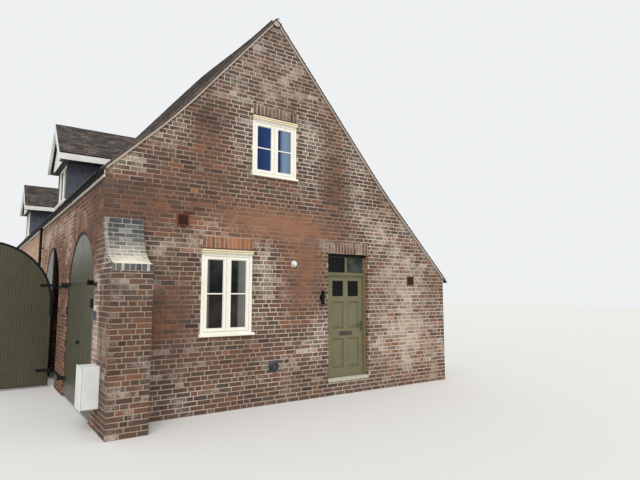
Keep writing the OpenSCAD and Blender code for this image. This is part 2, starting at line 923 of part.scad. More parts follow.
door_leaf_x = door_x + door_jamb + door_gap;
door_leaf_w = fan_w - 2 * door_gap;
door_leaf_y = door_set + door_frame_d - door_leaf_t;
door_leaf_z = floor_z + door_gap;
door_stile = 112;
door_muntin = 110;
panel_w = (door_leaf_w - 2 * door_stile - door_muntin) / 2;
bottom_rail = 175;
low_panel_h = 575;
lock_rail = 200;
tall_panel_h = 535;
mid_rail = 105;
low_panel_z = bottom_rail;
tall_panel_z = low_panel_z + low_panel_h + lock_rail;
light_z = tall_panel_z + tall_panel_h + mid_rail;
top_rail = 90;
light_h = door_leaf_h - light_z - top_rail;

function panel_x(i) = door_leaf_x + door_stile + i * (panel_w + door_muntin);

// Sunk border round a raised panel, on both faces of the leaf
module panel_sinking(i, z, h) {
    sink = 9;
    field = 36;
    for (y = [door_leaf_y - eps, door_leaf_y + door_leaf_t - sink])
        difference() {
            translate([panel_x(i), y, door_leaf_z + z])
                cube([panel_w, sink + eps, h]);
            translate([panel_x(i) + field, y - eps, door_leaf_z + z + field])
                cube([panel_w - 2 * field, sink + 3 * eps, h - 2 * field]);
        }
}

module front_door() {
    color(olive)
        difference() {
            translate([door_leaf_x, door_leaf_y, door_leaf_z])
                cube([door_leaf_w, door_leaf_t, door_leaf_h]);
            for (i = [0, 1]) {
                panel_sinking(i, low_panel_z, low_panel_h);
                panel_sinking(i, tall_panel_z, tall_panel_h);
                translate([panel_x(i), door_leaf_y - eps, door_leaf_z + light_z])
                    cube([panel_w, door_leaf_t + 2 * eps, light_h]);
            }
        }
}

module door_glass() {
    unit_t = 14;
    color(glass_tint)
        for (i = [0, 1])
            translate([panel_x(i), door_leaf_y + (door_leaf_t - unit_t) / 2, door_leaf_z + light_z])
                cube([panel_w, unit_t, light_h]);
}

handle_x = door_leaf_x + door_leaf_w - door_stile / 2;
handle_z = door_leaf_z + door_handle_h;

// Plate, spindle and lever on one face of the leaf; side is -1 outside and 1 inside
module lever_handle(side) {
    plate_w = 44;
    plate_h = 200;
    plate_drop = 130;
    plate_t = 5;
    spindle_r = 9;
    spindle = 42;
    lever_l = 121;
    lever_h = 18;
    lever_t = 14;
    face = side < 0 ? door_leaf_y : door_leaf_y + door_leaf_t;
    translate([handle_x - plate_w / 2, side < 0 ? face - plate_t : face, handle_z - plate_drop])
        cube([plate_w, plate_t, plate_h]);
    translate([handle_x, face, handle_z])
        rotate([-90 * side, 0, 0])
            cylinder(r = spindle_r, h = spindle);
    lever_y = face + side * (spindle - lever_t / 2) - lever_t / 2;
    translate([handle_x + spindle_r - lever_l, lever_y, handle_z - lever_h / 2])
        cube([lever_l, lever_t, lever_h]);
}

// Letter plate in the middle of the lock rail
module letter_plate() {
    plate_w = 290;
    plate_h = 76;
    plate_t = 6;
    mid_z = door_leaf_z + low_panel_z + low_panel_h + lock_rail / 2;
    translate([door_leaf_x + (door_leaf_w - plate_w) / 2, door_leaf_y - plate_t, mid_z - plate_h / 2])
        cube([plate_w, plate_t, plate_h]);
}

hinge_x = door_leaf_x - door_gap / 2;
hinge_y = door_set + door_frame_d + door_knuckle_r + pin_clear;
door_pin_r = 4;
knuckle_len = 30;
hinge_inset = 180;
hinge_heights = [hinge_inset, (door_leaf_h - knuckle_len) / 2, door_leaf_h - hinge_inset - knuckle_len];
hinge_leaf_w = 34;
hinge_leaf_t = 3;

// Knuckle of a door hinge, bored for the pin, joined to the plate that is screwed on
module door_knuckle(z, bored, side) {
    back = door_set + door_frame_d;
    difference() {
        union() {
            translate([hinge_x, hinge_y, z])
                cylinder(r = door_knuckle_r, h = knuckle_len);
            translate([side < 0 ? hinge_x - hinge_leaf_w : hinge_x, back, z])
                cube([hinge_leaf_w, hinge_leaf_t, knuckle_len]);
        }
        if (bored)
            translate([hinge_x, hinge_y, z - eps])
                cylinder(r = door_pin_r + pin_clear, h = knuckle_len + 2 * eps);
    }
}

module door_furniture() {
    color(iron) {
        lever_handle(-1);
        lever_handle(1);
        letter_plate();
        for (h = hinge_heights)
            door_knuckle(door_leaf_z + h, true, 1);
    }
}

// Fixed halves of the door's hinges: a knuckle under and over each moving one, and the pin
module door_pins() {
    for (h = hinge_heights) {
        z = door_leaf_z + h;
        door_knuckle(z - knuckle_len - pin_clear, false, -1);
        door_knuckle(z + knuckle_len + pin_clear, false, -1);
        translate([hinge_x, hinge_y, z - knuckle_len])
            cylinder(r = door_pin_r, h = 3 * knuckle_len);
    }
}

// Gates

// Half of the arched opening, in Y and Z from the middle of the arch; the near half by default
module leaf_shape(r, z0, mid_gap) {
    intersection() {
        union() {
            translate([0, spring_z])
                circle(r, $fn = 360);
            translate([-r, z0])
                square([2 * r, spring_z - z0]);
        }
        translate([-2 * r, z0])
            square([2 * r - mid_gap, 3 * r]);
    }
}

frame_r = arch_r - leaf_gap;
board_r = frame_r - rim_w;

// Puts the near half's geometry at an arch; the far half is its mirror image
module at_leaf(k, far) {
    translate([0, arch_mid[k], 0])
        mirror([0, far ? 1 : 0, 0])
            children();
}

module leaf_boards() {
    color(gate_olive)
        side_panel(leaf_set, leaf_t)
            leaf_shape(board_r, leaf_foot + rim_w, meet_gap / 2 + rim_w);
}

// Steel frame behind the boards, with two rails, and the hinge arms in front
module leaf_frame() {
    x0 = leaf_set + leaf_t;
    color(iron) {
        side_panel(x0, rail_d) {
            difference() {
                leaf_shape(frame_r, leaf_foot, meet_gap / 2);
                leaf_shape(frame_r - rail_w, leaf_foot + rail_w, meet_gap / 2 + rail_w);
            }
            intersection() {
                leaf_shape(frame_r, leaf_foot, meet_gap / 2);
                for (z = [hinge_top, hinge_low])
                    translate([-2 * arch_r, floor_z + z - rail_w / 2])
                        square([2 * arch_r, rail_w]);
            }
        }
        for (z = [hinge_top, hinge_low])
            hinge_arm(floor_z + z);
    }
}

knuckle_r = pin_r + 8;
knuckle_h = 60;
bracket_h = 16;

// Strap on the face of the boards, cranked out to the knuckle round the pin
module hinge_arm(z) {
    strap_t = 8;
    strap_l = 180;
    crank_in = 74;
    crank_w = 32;
    jamb = -arch_r;
    translate([0, 0, z - knuckle_h / 2]) {
        difference() {
            translate([-pin_out, jamb, 0])
                cylinder(r = knuckle_r, h = knuckle_h);
            translate([-pin_out, jamb, -eps])
                cylinder(r = pin_r + pin_clear, h = knuckle_h + 2 * eps);
        }
        linear_extrude(knuckle_h)
            polygon([
                [-pin_out, jamb + knuckle_r - 2],
                [-pin_out + knuckle_r - 4, jamb + 2],
                [leaf_set - strap_t, jamb + crank_in],
                [leaf_set - strap_t, jamb + crank_in + crank_w]
            ]);
        translate([leaf_set - strap_t, jamb + crank_in, 0])
            cube([strap_t, strap_l, knuckle_h]);
    }
}

module gate_one_near() {
    at_leaf(0, false)
        leaf_boards();
}

module gate_one_far() {
    at_leaf(0, true)
        leaf_boards();
}

module gate_two_far() {
    at_leaf(1, true)
        leaf_boards();
}

// The near leaf of the second gateway stands open at a right angle to the wall
module swung_open() {
    pin = [-pin_out, arch_mid[1] - arch_r, 0];
    translate(pin)
        rotate([0, 0, 90])
            translate(-pin)
                children();
}

module gate_two_near() {
    swung_open()
        at_leaf(1, false)
            leaf_boards();
}

// Round pull on the boards beside the meeting line, and the lock plate by the hinge side
module gate_pull() {
    pull_r = 28;
    pull_out = 45;
    pull_in = 70;
    pull_z = 815;
    lock_size = [30, 110, 140];
    lock_in = 120;
    lock_z = 1430;
    color(iron) {
        translate([leaf_set - pull_out, -pull_in, floor_z + pull_z])
            rotate([0, 90, 0])
                cylinder(r = pull_r, h = pull_out);
        translate([leaf_set - lock_size[0], lock_in - arch_r, floor_z + lock_z])
            cube(lock_size);
    }
}

module frame_one_near() {
    at_leaf(0, false) {
        leaf_frame();
        gate_pull();
    }
}

module frame_one_far() {
    at_leaf(0, true)
        leaf_frame();
}

module frame_two_near() {
    swung_open()
        at_leaf(1, false)
            leaf_frame();
}

module frame_two_far() {
    at_leaf(1, true)
        leaf_frame();
}

// Gate pin on a bracket at a jamb; side is -1 where the wall lies nearer the gable than the opening
module pin_bracket(jamb, side, z) {
    foot = z - knuckle_h / 2 - pin_clear - bracket_h;
    translate([-pin_out - knuckle_r, side < 0 ? jamb - 30 : jamb - knuckle_r, foot])
        cube([pin_out + knuckle_r, 30 + knuckle_r, bracket_h]);
    translate([-pin_out, jamb, foot])
        cylinder(r = pin_r, h = bracket_h + knuckle_h + 15);
}

// Iron plate on the wall between two distances from the gable, under a row of brackets
module pin_plate(y0, y1, z) {
    plate = 8;
    edge = 4;
    box([-plate, y0 + edge, z - knuckle_h / 2 - 2 * bracket_h], [0, y1 - edge, z]);
}

module gate_pin_row(z) {
    reach = 200;
    near = arch_mid[0] - arch_r;
    pier_near = arch_mid[0] + arch_r;
    pier_far = arch_mid[1] - arch_r;
    last = arch_mid[1] + arch_r;
    pin_bracket(near, -1, z);
    pin_plate(near - reach, near, z);
    pin_bracket(pier_near, 1, z);
    pin_bracket(pier_far, -1, z);
    pin_plate(pier_near, pier_far, z);
    pin_bracket(last, 1, z);
    pin_plate(last, last + reach, z);
}

module hinge_pins() {
    color(iron) {
        for (h = [hinge_top, hinge_low])
            gate_pin_row(floor_z + h);
        door_pins();
    }
}

// Eaves and rainwater

module eaves_board(wall_x, out_x) {
    low = roof_z(wall_x, 0) - tile_edge - fascia_h;
    gable_panel([
        [out_x, low],
        [out_x, roof_z(out_x, 0) - tile_edge - seat],
        [wall_x, roof_z(wall_x, 0) - tile_edge - seat],
        [wall_x, low]
    ], 0, far_y);
}

module eaves_boards() {
    color(cream) {
        eaves_board(0, -fascia_t);
        eaves_board(house_w, house_w + fascia_t);
    }
}

gutter_t = 3;
shoe_z = 150;

// Half round section of the gutter, open or filled
module gutter_half(x, z, r) {
    intersection() {
        translate([x, z])
            circle(r);
        translate([x - gutter_r, z - gutter_r])
            square([2 * gutter_r, gutter_r]);
    }
}

module along_gutter(y0, y1) {
    translate([0, y1, 0])
        rotate([90, 0, 0])
            linear_extrude(y1 - y0)
                children();
}

// Half round gutter with closed ends, and its pipe down to the ground
module gutter_and_pipe(x, z) {
    end_out = 20;
    along_gutter(-end_out, far_y)
        difference() {
            gutter_half(x, z, gutter_r);
            circle_at(x, z, gutter_r - gutter_t);
        }
    along_gutter(-end_out, gutter_t - end_out)
        gutter_half(x, z, gutter_r - gutter_t / 2);
    along_gutter(far_y - gutter_t, far_y)
        gutter_half(x, z, gutter_r - gutter_t / 2);
    translate([x, pipe_y, shoe_z])
        cylinder(r = pipe_r, h = z - gutter_r + gutter_t - shoe_z);
}

module circle_at(x, z, r) {
    translate([x, z])
        circle(r);
}

// Clips that hold the pipe to the wall, spaced evenly below the gutter
module pipe_clips(x, wall_x, top_z) {
    clip_w = 90;
    clip_h = 30;
    count = 3;
    pitch = (top_z - shoe_z) / (count + 1);
    for (i = [1 : count])
        translate([min(x, wall_x), pipe_y - clip_w / 2, shoe_z + i * pitch])
            cube([abs(wall_x - x), clip_w, clip_h]);
}

module rainwater_goods() {
    drop = 9;
    left_x = -fascia_t - gutter_r;
    right_x = house_w + fascia_t + gutter_r;
    left_rim = roof_z(-eaves_out, 0) - tile_edge - drop;
    right_rim = roof_z(house_w + eaves_out, 0) - tile_edge - drop;
    color(iron) {
        gutter_and_pipe(left_x, left_rim);
        gutter_and_pipe(right_x, right_rim);
        pipe_clips(left_x, 0, left_rim);
        pipe_clips(right_x, house_w, right_rim);
    }
}

// Fittings

meter_lip = 8;
meter_lid_t = 14;
meter_foot = floor_z + meter_z;

module meter_box() {
    color(white) {
        box([meter_lid_t - meter_d, meter_lip - meter_out, meter_foot],
            [0, meter_w - meter_out - meter_lip, meter_foot + meter_h]);
        box([-meter_d, -meter_out, meter_foot - meter_lip],
            [meter_lid_t - meter_d, meter_w - meter_out, meter_foot + meter_h + meter_lip]);
    }
}

// Round cowl or lamp on the gable
module gable_disc(x, z, r1, r2, out) {
    translate([x, 0, floor_z + z])
        rotate([90, 0, 0])
            cylinder(r1 = r1, r2 = r2, h = out);
}

// Upright cylinder lamp beside the door, and the round outlet low on the gable
module wall_lamp() {
    stand = 75;
    plate = [50, 60, 100];
    lamp_x = door_x - lamp_in;
    color(iron) {
        translate([lamp_x, -stand, floor_z + lamp_z])
            cylinder(r = lamp_r, h = lamp_h);
        translate([lamp_x - plate[0] / 2, -plate[1], floor_z + lamp_z + (lamp_h - plate[2]) / 2])
            cube(plate);
        gable_disc(outlet_x, outlet_z, outlet_r, outlet_r, outlet_out);
    }
}

module air_brick(x, z) {
    half = air_brick_w / 2;
    box([x - half, -air_brick_out, floor_z + z - half], [x + half, 0, floor_z + z + half]);
}

module air_bricks() {
    color(orange_brick) {
        air_brick(left_vent_x, left_vent_z);
        air_brick(house_w - right_vent_in, right_vent_z);
    }
}

// White dome sensor on the gable and key pad on the side wall
module wall_fittings() {
    color(white) {
        gable_disc(dome_x, dome_z, dome_r, dome_tip_r, dome_out);
        translate([-key_pad_d, key_pad_y, floor_z + key_pad_z])
            cube([key_pad_d, key_pad_w, key_pad_h]);
    }
}

front_wall_left();
front_wall_right();
front_gable();
soldier_courses();
buttress();
buttress_weathering();
side_wall_piers();
side_wall_arcade();
arch_rings();
side_wall_back();
right_wall();
party_wall();
ground_floor();
upper_floor();
roof_left();
roof_right();
ridge_tiles();
verge_tiles();
verge_mortar();
dormer_roofs();
dormer_cheeks();
dormer_boards();
dormer_windows();
low_window();
high_window();
window_glass();
door_sill();
door_frame();
front_door();
door_glass();
door_furniture();
gate_one_near();
gate_one_far();
gate_two_near();
gate_two_far();
frame_one_near();
frame_one_far();
frame_two_near();
frame_two_far();
hinge_pins();
eaves_boards();
rainwater_goods();
meter_box();
wall_lamp();
air_bricks();
wall_fittings();
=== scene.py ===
"""Brick coach house: brickwork, tiling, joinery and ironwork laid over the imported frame."""

import bisect
import math
import random

import bmesh
import bpy
import numpy as np
from mathutils import Matrix, Vector


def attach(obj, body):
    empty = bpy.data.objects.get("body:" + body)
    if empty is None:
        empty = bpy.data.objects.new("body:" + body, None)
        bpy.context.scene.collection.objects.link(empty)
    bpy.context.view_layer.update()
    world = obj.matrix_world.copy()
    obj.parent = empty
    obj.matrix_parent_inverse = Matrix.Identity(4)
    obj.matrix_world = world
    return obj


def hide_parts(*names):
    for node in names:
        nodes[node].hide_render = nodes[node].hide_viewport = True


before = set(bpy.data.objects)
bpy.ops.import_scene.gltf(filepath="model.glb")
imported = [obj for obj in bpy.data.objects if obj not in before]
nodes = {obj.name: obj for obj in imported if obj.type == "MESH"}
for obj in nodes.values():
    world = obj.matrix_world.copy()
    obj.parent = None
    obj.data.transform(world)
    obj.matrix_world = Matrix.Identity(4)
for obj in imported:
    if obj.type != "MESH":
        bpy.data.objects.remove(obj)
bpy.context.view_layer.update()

# Sizes of the building in metres and pitches in degrees, the same as in the CAD part
HOUSE_W, HOUSE_LEN, WALL_T, FLOOR_Z = 7.55, 15.6, 0.33, 0.32
RIDGE_X, RIDGE_LIFT, LIFT_Y = 2.966, 0.17, 4.0
EAVES_Z, EAVES_PITCH, BEND_HALF, EAVES_OUT, VERGE_OUT = 3.935, 44.6, 0.35, 0.06, 0.04
LEFT_KICK_X, LEFT_PITCH, RIGHT_KICK_X, RIGHT_PITCH = 1.1, 50.4, 5.67, 48.5
VERGE_DEPTH, ROOF_T, TILE_EDGE, FASCIA_H = 0.05, 0.13, 0.045, 0.165
ARCH_Y, ARCH_W, ARCH_PITCH, ARCH_CROWN, RING_D = 0.4, 2.57, 3.7, 2.755, 0.225
DOOR_X, DOOR_W, DOOR_H = 4.21, 1.03, 2.455
LOW_WIN, HIGH_WIN, WIN_W, DRIP_H = (1.58, 0.95, 1.4), (2.5, 3.82, 1.06), 0.96, 0.06
SOLDIER_H, PIPE_Y = 0.225, 7.35
BUTT_W, BUTT_OUT, BUTT_LOW, BUTT_TOP, BAND_H, LEDGE = 0.575, 0.7, 2.08, 2.8, 0.105, 0.1
DORMER_Y, DORMER_PITCH, DORMER_W, DORMER_ROOF_W = 4.55, 7.85, 1.2, 1.78
DORMER_SILL_H, DORMER_WIN_H, DORMER_HEAD_H, DORMER_RISE = 0.085, 0.87, 0.11, 0.84
DORMER_OUT, DORMER_TILE_R = 0.19, 0.08
RIDGE_R, PIN_OUT, LEAF_SET, LEAF_T, LEAF_FOOT = 0.115, 0.095, 0.012, 0.032, 0.04
LEAF_GAP, MEET_GAP, RIM_W = 0.01, 0.014, 0.018

ARCH_R = ARCH_W / 2
SPRING_Z = FLOOR_Z + ARCH_CROWN - ARCH_R
ARCH_MIDS = (ARCH_Y + ARCH_R, ARCH_Y + ARCH_PITCH + ARCH_R)
DORMER_MIDS = (DORMER_Y, DORMER_Y + DORMER_PITCH)
DORMER_SILL_Z = EAVES_Z + DORMER_SILL_H
DORMER_EAVES_Z = DORMER_SILL_Z + DORMER_WIN_H + DORMER_HEAD_H
DORMER_RIDGE_Z = DORMER_EAVES_Z + DORMER_RISE
DORMER_FALL = DORMER_RISE / (DORMER_ROOF_W / 2)
FLAT = math.tan(math.radians(EAVES_PITCH))
LEFT_KICK_Z = EAVES_Z + LEFT_KICK_X * FLAT
RIDGE_Z = LEFT_KICK_Z + (RIDGE_X - LEFT_KICK_X) * math.tan(math.radians(LEFT_PITCH))
RIGHT_KICK_Z = RIDGE_Z - (RIGHT_KICK_X - RIDGE_X) * math.tan(math.radians(RIGHT_PITCH))

# Brick and tile sizes
GAUGE, BRICK_H, BRICK_L, HEADER_L, BRICK_D, JOINT = 0.078, 0.0645, 0.226, 0.108, 0.016, 0.0135
PROUD, WORN = 0.004, 0.004
TILE_W, TILE_GAUGE, TILE_L, TILE_T = 0.165, 0.1, 0.135, 0.012


def lift(y):
    """Rise of the ridge behind the gable"""
    t = min(1.0, max(0.0, (y - WALL_T) / (LIFT_Y - WALL_T)))
    return RIDGE_LIFT * t * t * (3 - 2 * t)


def slope_z(run, kick_run, ridge_run, kick_z, top_z):
    """Height of a slope at a run from its eaves: flat pitch, soft bend, steep pitch"""
    steep = (top_z - kick_z) / (ridge_run - kick_run)
    d = run - kick_run
    if d <= -BEND_HALF:
        return kick_z + FLAT * d
    if d >= BEND_HALF:
        return kick_z + steep * d
    return kick_z + FLAT * d + (steep - FLAT) * (d + BEND_HALF) ** 2 / (4 * BEND_HALF)


def roof_z(x, y):
    """Height of the tile surface"""
    top = RIDGE_Z + lift(y)
    if x < RIDGE_X:
        return slope_z(x, LEFT_KICK_X, RIDGE_X, LEFT_KICK_Z, top)
    return slope_z(HOUSE_W - x, HOUSE_W - RIGHT_KICK_X, HOUSE_W - RIDGE_X, RIGHT_KICK_Z, top)


def slope_x(z, y, left):
    """Place across the house where the tile surface of one slope is at a height"""
    low, high = (-0.1, RIDGE_X - 0.0001) if left else (HOUSE_W + 0.1, RIDGE_X)
    for _ in range(40):
        mid = (low + high) / 2
        if roof_z(mid, y) < z:
            low = mid
        else:
            high = mid
    return (low + high) / 2


# Finishes

def paint(code):
    """Linear colour from its written sRGB code"""
    values = [int(code[i:i + 2], 16) / 255 for i in (1, 3, 5)]
    return tuple(v / 12.92 if v <= 0.04045 else ((v + 0.055) / 1.055) ** 2.4 for v in values) + (1.0,)


def plug(tree, source, socket):
    """Feeds a socket from another node, a number or a written colour"""
    if hasattr(source, "is_output"):
        tree.links.new(source, socket)
    else:
        socket.default_value = paint(source) if isinstance(source, str) else source


def add_node(tree, kind, feeds=(), **settings):
    """New node with its settings. feeds holds what goes into its sockets, by name or number"""
    made = tree.nodes.new("ShaderNode" + kind)
    for key, value in settings.items():
        setattr(made, key, value)
    for key, value in dict(feeds).items():
        plug(tree, value, made.inputs[key])
    return made


class Finish:
    """One material and the small set of nodes that its colour and relief are made from"""

    def __init__(self, name, roughness, specular=0.5):
        self.material = bpy.data.materials.new(name)
        self.material.use_nodes = True
        self.tree = self.material.node_tree
        self.shader = self.tree.nodes["Principled BSDF"]
        self.feed("Roughness", roughness)
        self.feed("Specular IOR Level", specular)
        self.place = self.node("TexCoord").outputs["Object"]

    def node(self, kind, feeds=(), **settings):
        return add_node(self.tree, kind, feeds, **settings)

    def feed(self, socket, source):
        plug(self.tree, source, self.shader.inputs[socket])

    def noise(self, scale, detail=4.0, roughness=0.55, stretch=None):
        """Cloudy grey, drawn out along an axis whose stretch is under 1"""
        place = self.place
        if stretch:
            place = self.node("Mapping", {"Vector": place, "Scale": stretch}).outputs["Vector"]
        feeds = {"Vector": place, "Scale": scale, "Detail": detail, "Roughness": roughness}
        return self.node("TexNoise", feeds).outputs["Fac"]

    def ramp(self, factor, *stops):
        """Colours or greys at places from 0 to 1"""
        made = self.node("ValToRGB", {"Fac": factor})
        elements = made.color_ramp.elements
        while len(elements) < len(stops):
            elements.new(0.5)
        for element, (at, value) in zip(elements, stops):
            element.position = at
            element.color = paint(value) if isinstance(value, str) else (value, value, value, 1.0)
        return made.outputs["Color"]

    def math(self, operation, a, b, clamp=False):
        return self.node("Math", {0: a, 1: b}, operation=operation, use_clamp=clamp).outputs[0]

    def plus(self, a, b, clamp=False):
        return self.math("ADD", a, b, clamp)

    def times(self, a, b, clamp=False):
        return self.math("MULTIPLY", a, b, clamp)

    def over(self, a, limit):
        return self.math("GREATER_THAN", a, limit)

    def under(self, a, limit):
        return self.math("LESS_THAN", a, limit)

    def sway(self, amount, *settings):
        """Noise as a shift up and down round zero"""
        return self.times(self.math("SUBTRACT", self.noise(*settings), 0.5), amount)

    def mix(self, factor, a, b, blend="MIX"):
        made = self.node("Mix", data_type="RGBA", blend_type=blend)
        for key, value in (("Factor", factor), ("A", a), ("B", b)):
            plug(self.tree, value, made.inputs[key])
        return made.outputs["Result"]

    def relief(self, height, strength, distance):
        bump = self.node("Bump", {"Height": height, "Strength": strength, "Distance": distance})
        self.feed("Normal", bump.outputs["Normal"])

    def axes(self):
        return self.node("SeparateXYZ", {0: self.place}).outputs

    def marks(self):
        """The three greys kept on every brick or tile: firing, bloom and soot, which on tiles also carries
        painted shade under the course above
        """
        attribute = self.node("Attribute", attribute_name="marks")
        return list(self.node("SeparateColor", {"Color": attribute.outputs["Color"]}).outputs)[:3]


def patch_tone(made, tone, patches, face):
    """Tone raised or lowered in soft patches of the gable, the side or the buttress"""
    for u, v, wide, high, _, shift in patches:
        if face == "side":
            centre, reach = (0, u, v), (0.2, wide * 1.7, high * 1.7)
        else:
            centre, reach = (u, -BUTT_OUT if face == "buttress" else 0, v), (wide * 1.7, 0.9, high * 1.7)
        feeds = {"Vector": made.place, "Location": centre, "Scale": reach}
        place = made.node("Mapping", feeds, vector_type="TEXTURE").outputs["Vector"]
        ball = made.node("TexGradient", {"Vector": place}, gradient_type="SPHERICAL")
        tone = made.plus(tone, made.times(ball.outputs["Fac"], shift))
    return tone


def rusty(made, colour, washes):
    """Colour stained by ochre washes that run over bricks and joints alike"""
    if not washes:
        return colour
    depth = made.times(patch_tone(made, 0.0, washes, "gable"), made.plus(made.noise(4), 0.35), clamp=True)
    return made.mix(depth, colour, "#956b51")


def weathered_brick(name, *stops, lime="#bfb1a2", washes=()):
    """Brick whose colour runs with its firing, greyed by soot, paled by lime and stained by washes"""
    made = Finish(name, 0.9, 0.2)
    firing, bloom, soot_and_shade = made.marks()
    body = rusty(made, made.ramp(made.plus(firing, made.sway(0.5, 19, 5, 0.65)), *stops), washes)
    sooted_and_shaded = made.mix(made.times(soot_and_shade, 0.8, clamp=True), body, "#57504b")
    clouds_and_flecks = made.plus(made.sway(2.2, 2.6, 6, 0.68), made.sway(1.5, 48, 4, 0.7))
    wash = made.plus(bloom, made.times(clouds_and_flecks, 0.8))
    limed = made.mix(made.ramp(wash, (0.34, 0.0), (0.95, 0.9)), sooted_and_shaded, lime)
    specks = made.ramp(made.noise(240, 2, 0.5), (0.64, 0.0), (0.76, 0.5))
    made.feed("Base Color", made.mix(specks, limed, "#2e2420"))
    made.relief(made.plus(made.noise(150, 5, 0.7), made.times(made.noise(40, 3), 0.8)), 0.6, 0.003)
    return made.material


def inner_courses(made, mortar, stops):
    """Courses drawn on reveals and inner faces, where no bricks are laid over the wall"""
    x, y, z = made.axes()
    feeds = {"Vector": made.node("CombineXYZ", {0: made.plus(x, y), 1: z}).outputs[0],
             "Scale": 1.0, "Mortar Size": JOINT / 2, "Mortar Smooth": 0.1,
             "Brick Width": BRICK_L + JOINT, "Row Height": GAUGE}
    for key, grey in (("Color1", 0.2), ("Color2", 0.9), ("Mortar", 0.5)):
        feeds[key] = (grey, grey, grey, 1)
    courses = made.node("TexBrick", feeds, offset=0.5)
    fired = made.ramp(made.plus(courses.outputs["Color"], made.times(made.noise(30, 5), 0.2)), *stops)
    inside = 1.0
    for axis, size in ((x, HOUSE_W), (y, HOUSE_LEN)):
        inside = made.times(inside, made.times(made.over(axis, 0.001), made.under(axis, size - 0.001)))
    return made.mix(inside, mortar, made.mix(courses.outputs["Fac"], fired, mortar))


def mortar_finish(name, stained, plain, washed, brick_inside=None, zones=(), washes=()):
    """zones holds pairs: soft patches, and the face of wall that they are on"""
    made = Finish(name, 0.95, 0.15)
    tone = made.noise(1.1, 6, 0.62)
    for patches, face in zones:
        tone = patch_tone(made, tone, patches, face)
    cloud = made.ramp(tone, (0.1, stained), (0.5, plain), (0.85, washed))
    sand = made.ramp(made.noise(420, 2, 0.5), (0.3, 0.82), (0.7, 1.08))
    colour = rusty(made, made.mix(1.0, cloud, sand, "MULTIPLY"), washes)
    made.feed("Base Color", inner_courses(made, colour, brick_inside) if brick_inside else colour)
    made.relief(made.noise(210, 4, 0.7), 0.5, 0.003)
    return made.material


def tile_finish(name, *stops):
    made = Finish(name, 0.85, 0.3)
    firing, bloom, soot_and_shade = made.marks()
    body = made.ramp(made.plus(firing, made.sway(0.5, 20, 5, 0.65)), *stops)
    # The third mark greys the tile as soot and, towards each tile's head, as painted shade under the course
    # above
    sooted_and_shaded = made.mix(made.times(soot_and_shade, 0.9, clamp=True), body, "#2b2827")
    lichen = made.ramp(made.noise(60, 4, 0.75), (0.56, 0.0), (0.7, 0.8))
    made.feed("Base Color", made.mix(made.times(lichen, bloom, clamp=True), sooted_and_shaded, "#9b9082"))
    made.relief(made.noise(140, 5, 0.7), 0.5, 0.002)
    return made.material


def painted(name, colour, shadow, roughness=0.45, grain=(1.0, 1.0, 0.06)):
    """Brushed paint on joinery, with a faint grain and slight wear in its tone"""
    made = Finish(name, roughness, 0.45)
    lines, cloud = made.noise(90, 4, 0.6, grain), made.noise(3.5, 4, 0.6)
    tone = made.plus(made.times(lines, 0.35), made.times(cloud, 0.65))
    made.feed("Base Color", made.ramp(tone, (0.32, shadow), (0.6, colour)))
    made.feed("Roughness", made.plus(made.times(cloud, 0.2), roughness - 0.1))
    made.relief(lines, 0.25, 0.0008)
    return made.material


def two_tone(name, shade, colour, cloud, bumps, lift, roughness, specular=0.5, high=0.7):
    """Finish that runs softly between two colours. cloud and bumps are the settings of its noises"""
    made = Finish(name, roughness, specular)
    made.feed("Base Color", made.ramp(made.noise(*cloud), (0.3, shade), (high, colour)))
    made.relief(made.noise(*bumps), *lift)
    return made.material


def black_iron():
    made = Finish("black ironwork", 0.6, 0.18)
    made.feed("Base Color", made.ramp(made.noise(45, 5, 0.6), (0.35, "#0b0b0c"), (0.75, "#19191a")))
    made.feed("Roughness", made.ramp(made.noise(70), (0.3, 0.5), (0.8, 0.68)))
    made.relief(made.noise(180), 0.3, 0.0006)
    return made.material


def window_panes():
    """Opaque dark panes, the shade of the unlit rooms behind painted in: a plastered reveal behind the low
    ones, a painted reflection of blue sky in the high ones
    """
    made = Finish("window glass", 0.1, 0.07)
    x, y, z = made.axes()

    def across(window):
        return made.math("DIVIDE", made.math("SUBTRACT", x, window[0]), WIN_W)

    haze = made.sway(0.35, 2.2, 3, 0.5)
    dark = made.ramp(made.plus(haze, 0.5), (0.35, "#0d0f0e"), (0.7, "#1d211f"))
    plaster = made.ramp(across(LOW_WIN), (0.15, 0.42), (0.175, 0.02), (0.42, 0.0),
                        (0.71, 0.04), (0.74, 0.42), (0.88, 0.52))
    # Painted reflection: the lower half of the low window is tinted brown
    brown_reflection_low = made.times(made.under(z, FLOOR_Z + LOW_WIN[1] + LOW_WIN[2] / 2), 0.8)
    low = made.mix(made.plus(plaster, haze, clamp=True), made.mix(brown_reflection_low, dark, "#2a211f"), "#8b8d89")
    # The high window's blues and pale grey-blues are a painted reflection of the sky
    high = made.ramp(made.plus(across(HIGH_WIN), made.times(haze, 0.1)),
                     (0.1, "#1c2b4e"), (0.4, "#253c69"), (0.55, "#1d2a42"), (0.625, "#1f2d44"),
                     (0.655, "#566a8c"), (0.72, "#72859f"), (0.84, "#6a7d94"), (0.885, "#3b4a4f"),
                     (0.95, "#35434a"))
    seen = made.mix(made.times(made.under(z, 3.0), made.under(x, 3.0)), high, low)
    over_door = made.times(made.over(x, DOOR_X + DOOR_W / 2), made.over(z, FLOOR_Z + 2.04))
    # Painted reflection: the right-hand pane over the door is tinted green
    green_reflection = made.ramp(made.noise(5), (0.35, "#262b27"), (0.65, "#444d45"))
    on_gable = made.times(made.over(x, LOW_WIN[0]), made.under(y, 0.06))
    made.feed("Base Color", made.mix(on_gable, made.mix(over_door, dark, green_reflection), seen))
    made.relief(made.noise(3, 2), 0.15, 0.002)
    return made.material


OLD_REDS = ((0.0, "#352a26"), (0.28, "#503d33"), (0.5, "#6a4b3b"), (0.72, "#86563e"), (1.0, "#a06a47"))
ORANGES = ((0.0, "#654435"), (0.4, "#8f5b42"), (0.7, "#a86c4a"), (1.0, "#be8560"))
BLUES = ((0.0, "#45474b"), (0.3, "#636362"), (0.6, "#989489"), (1.0, "#e6dccb"))

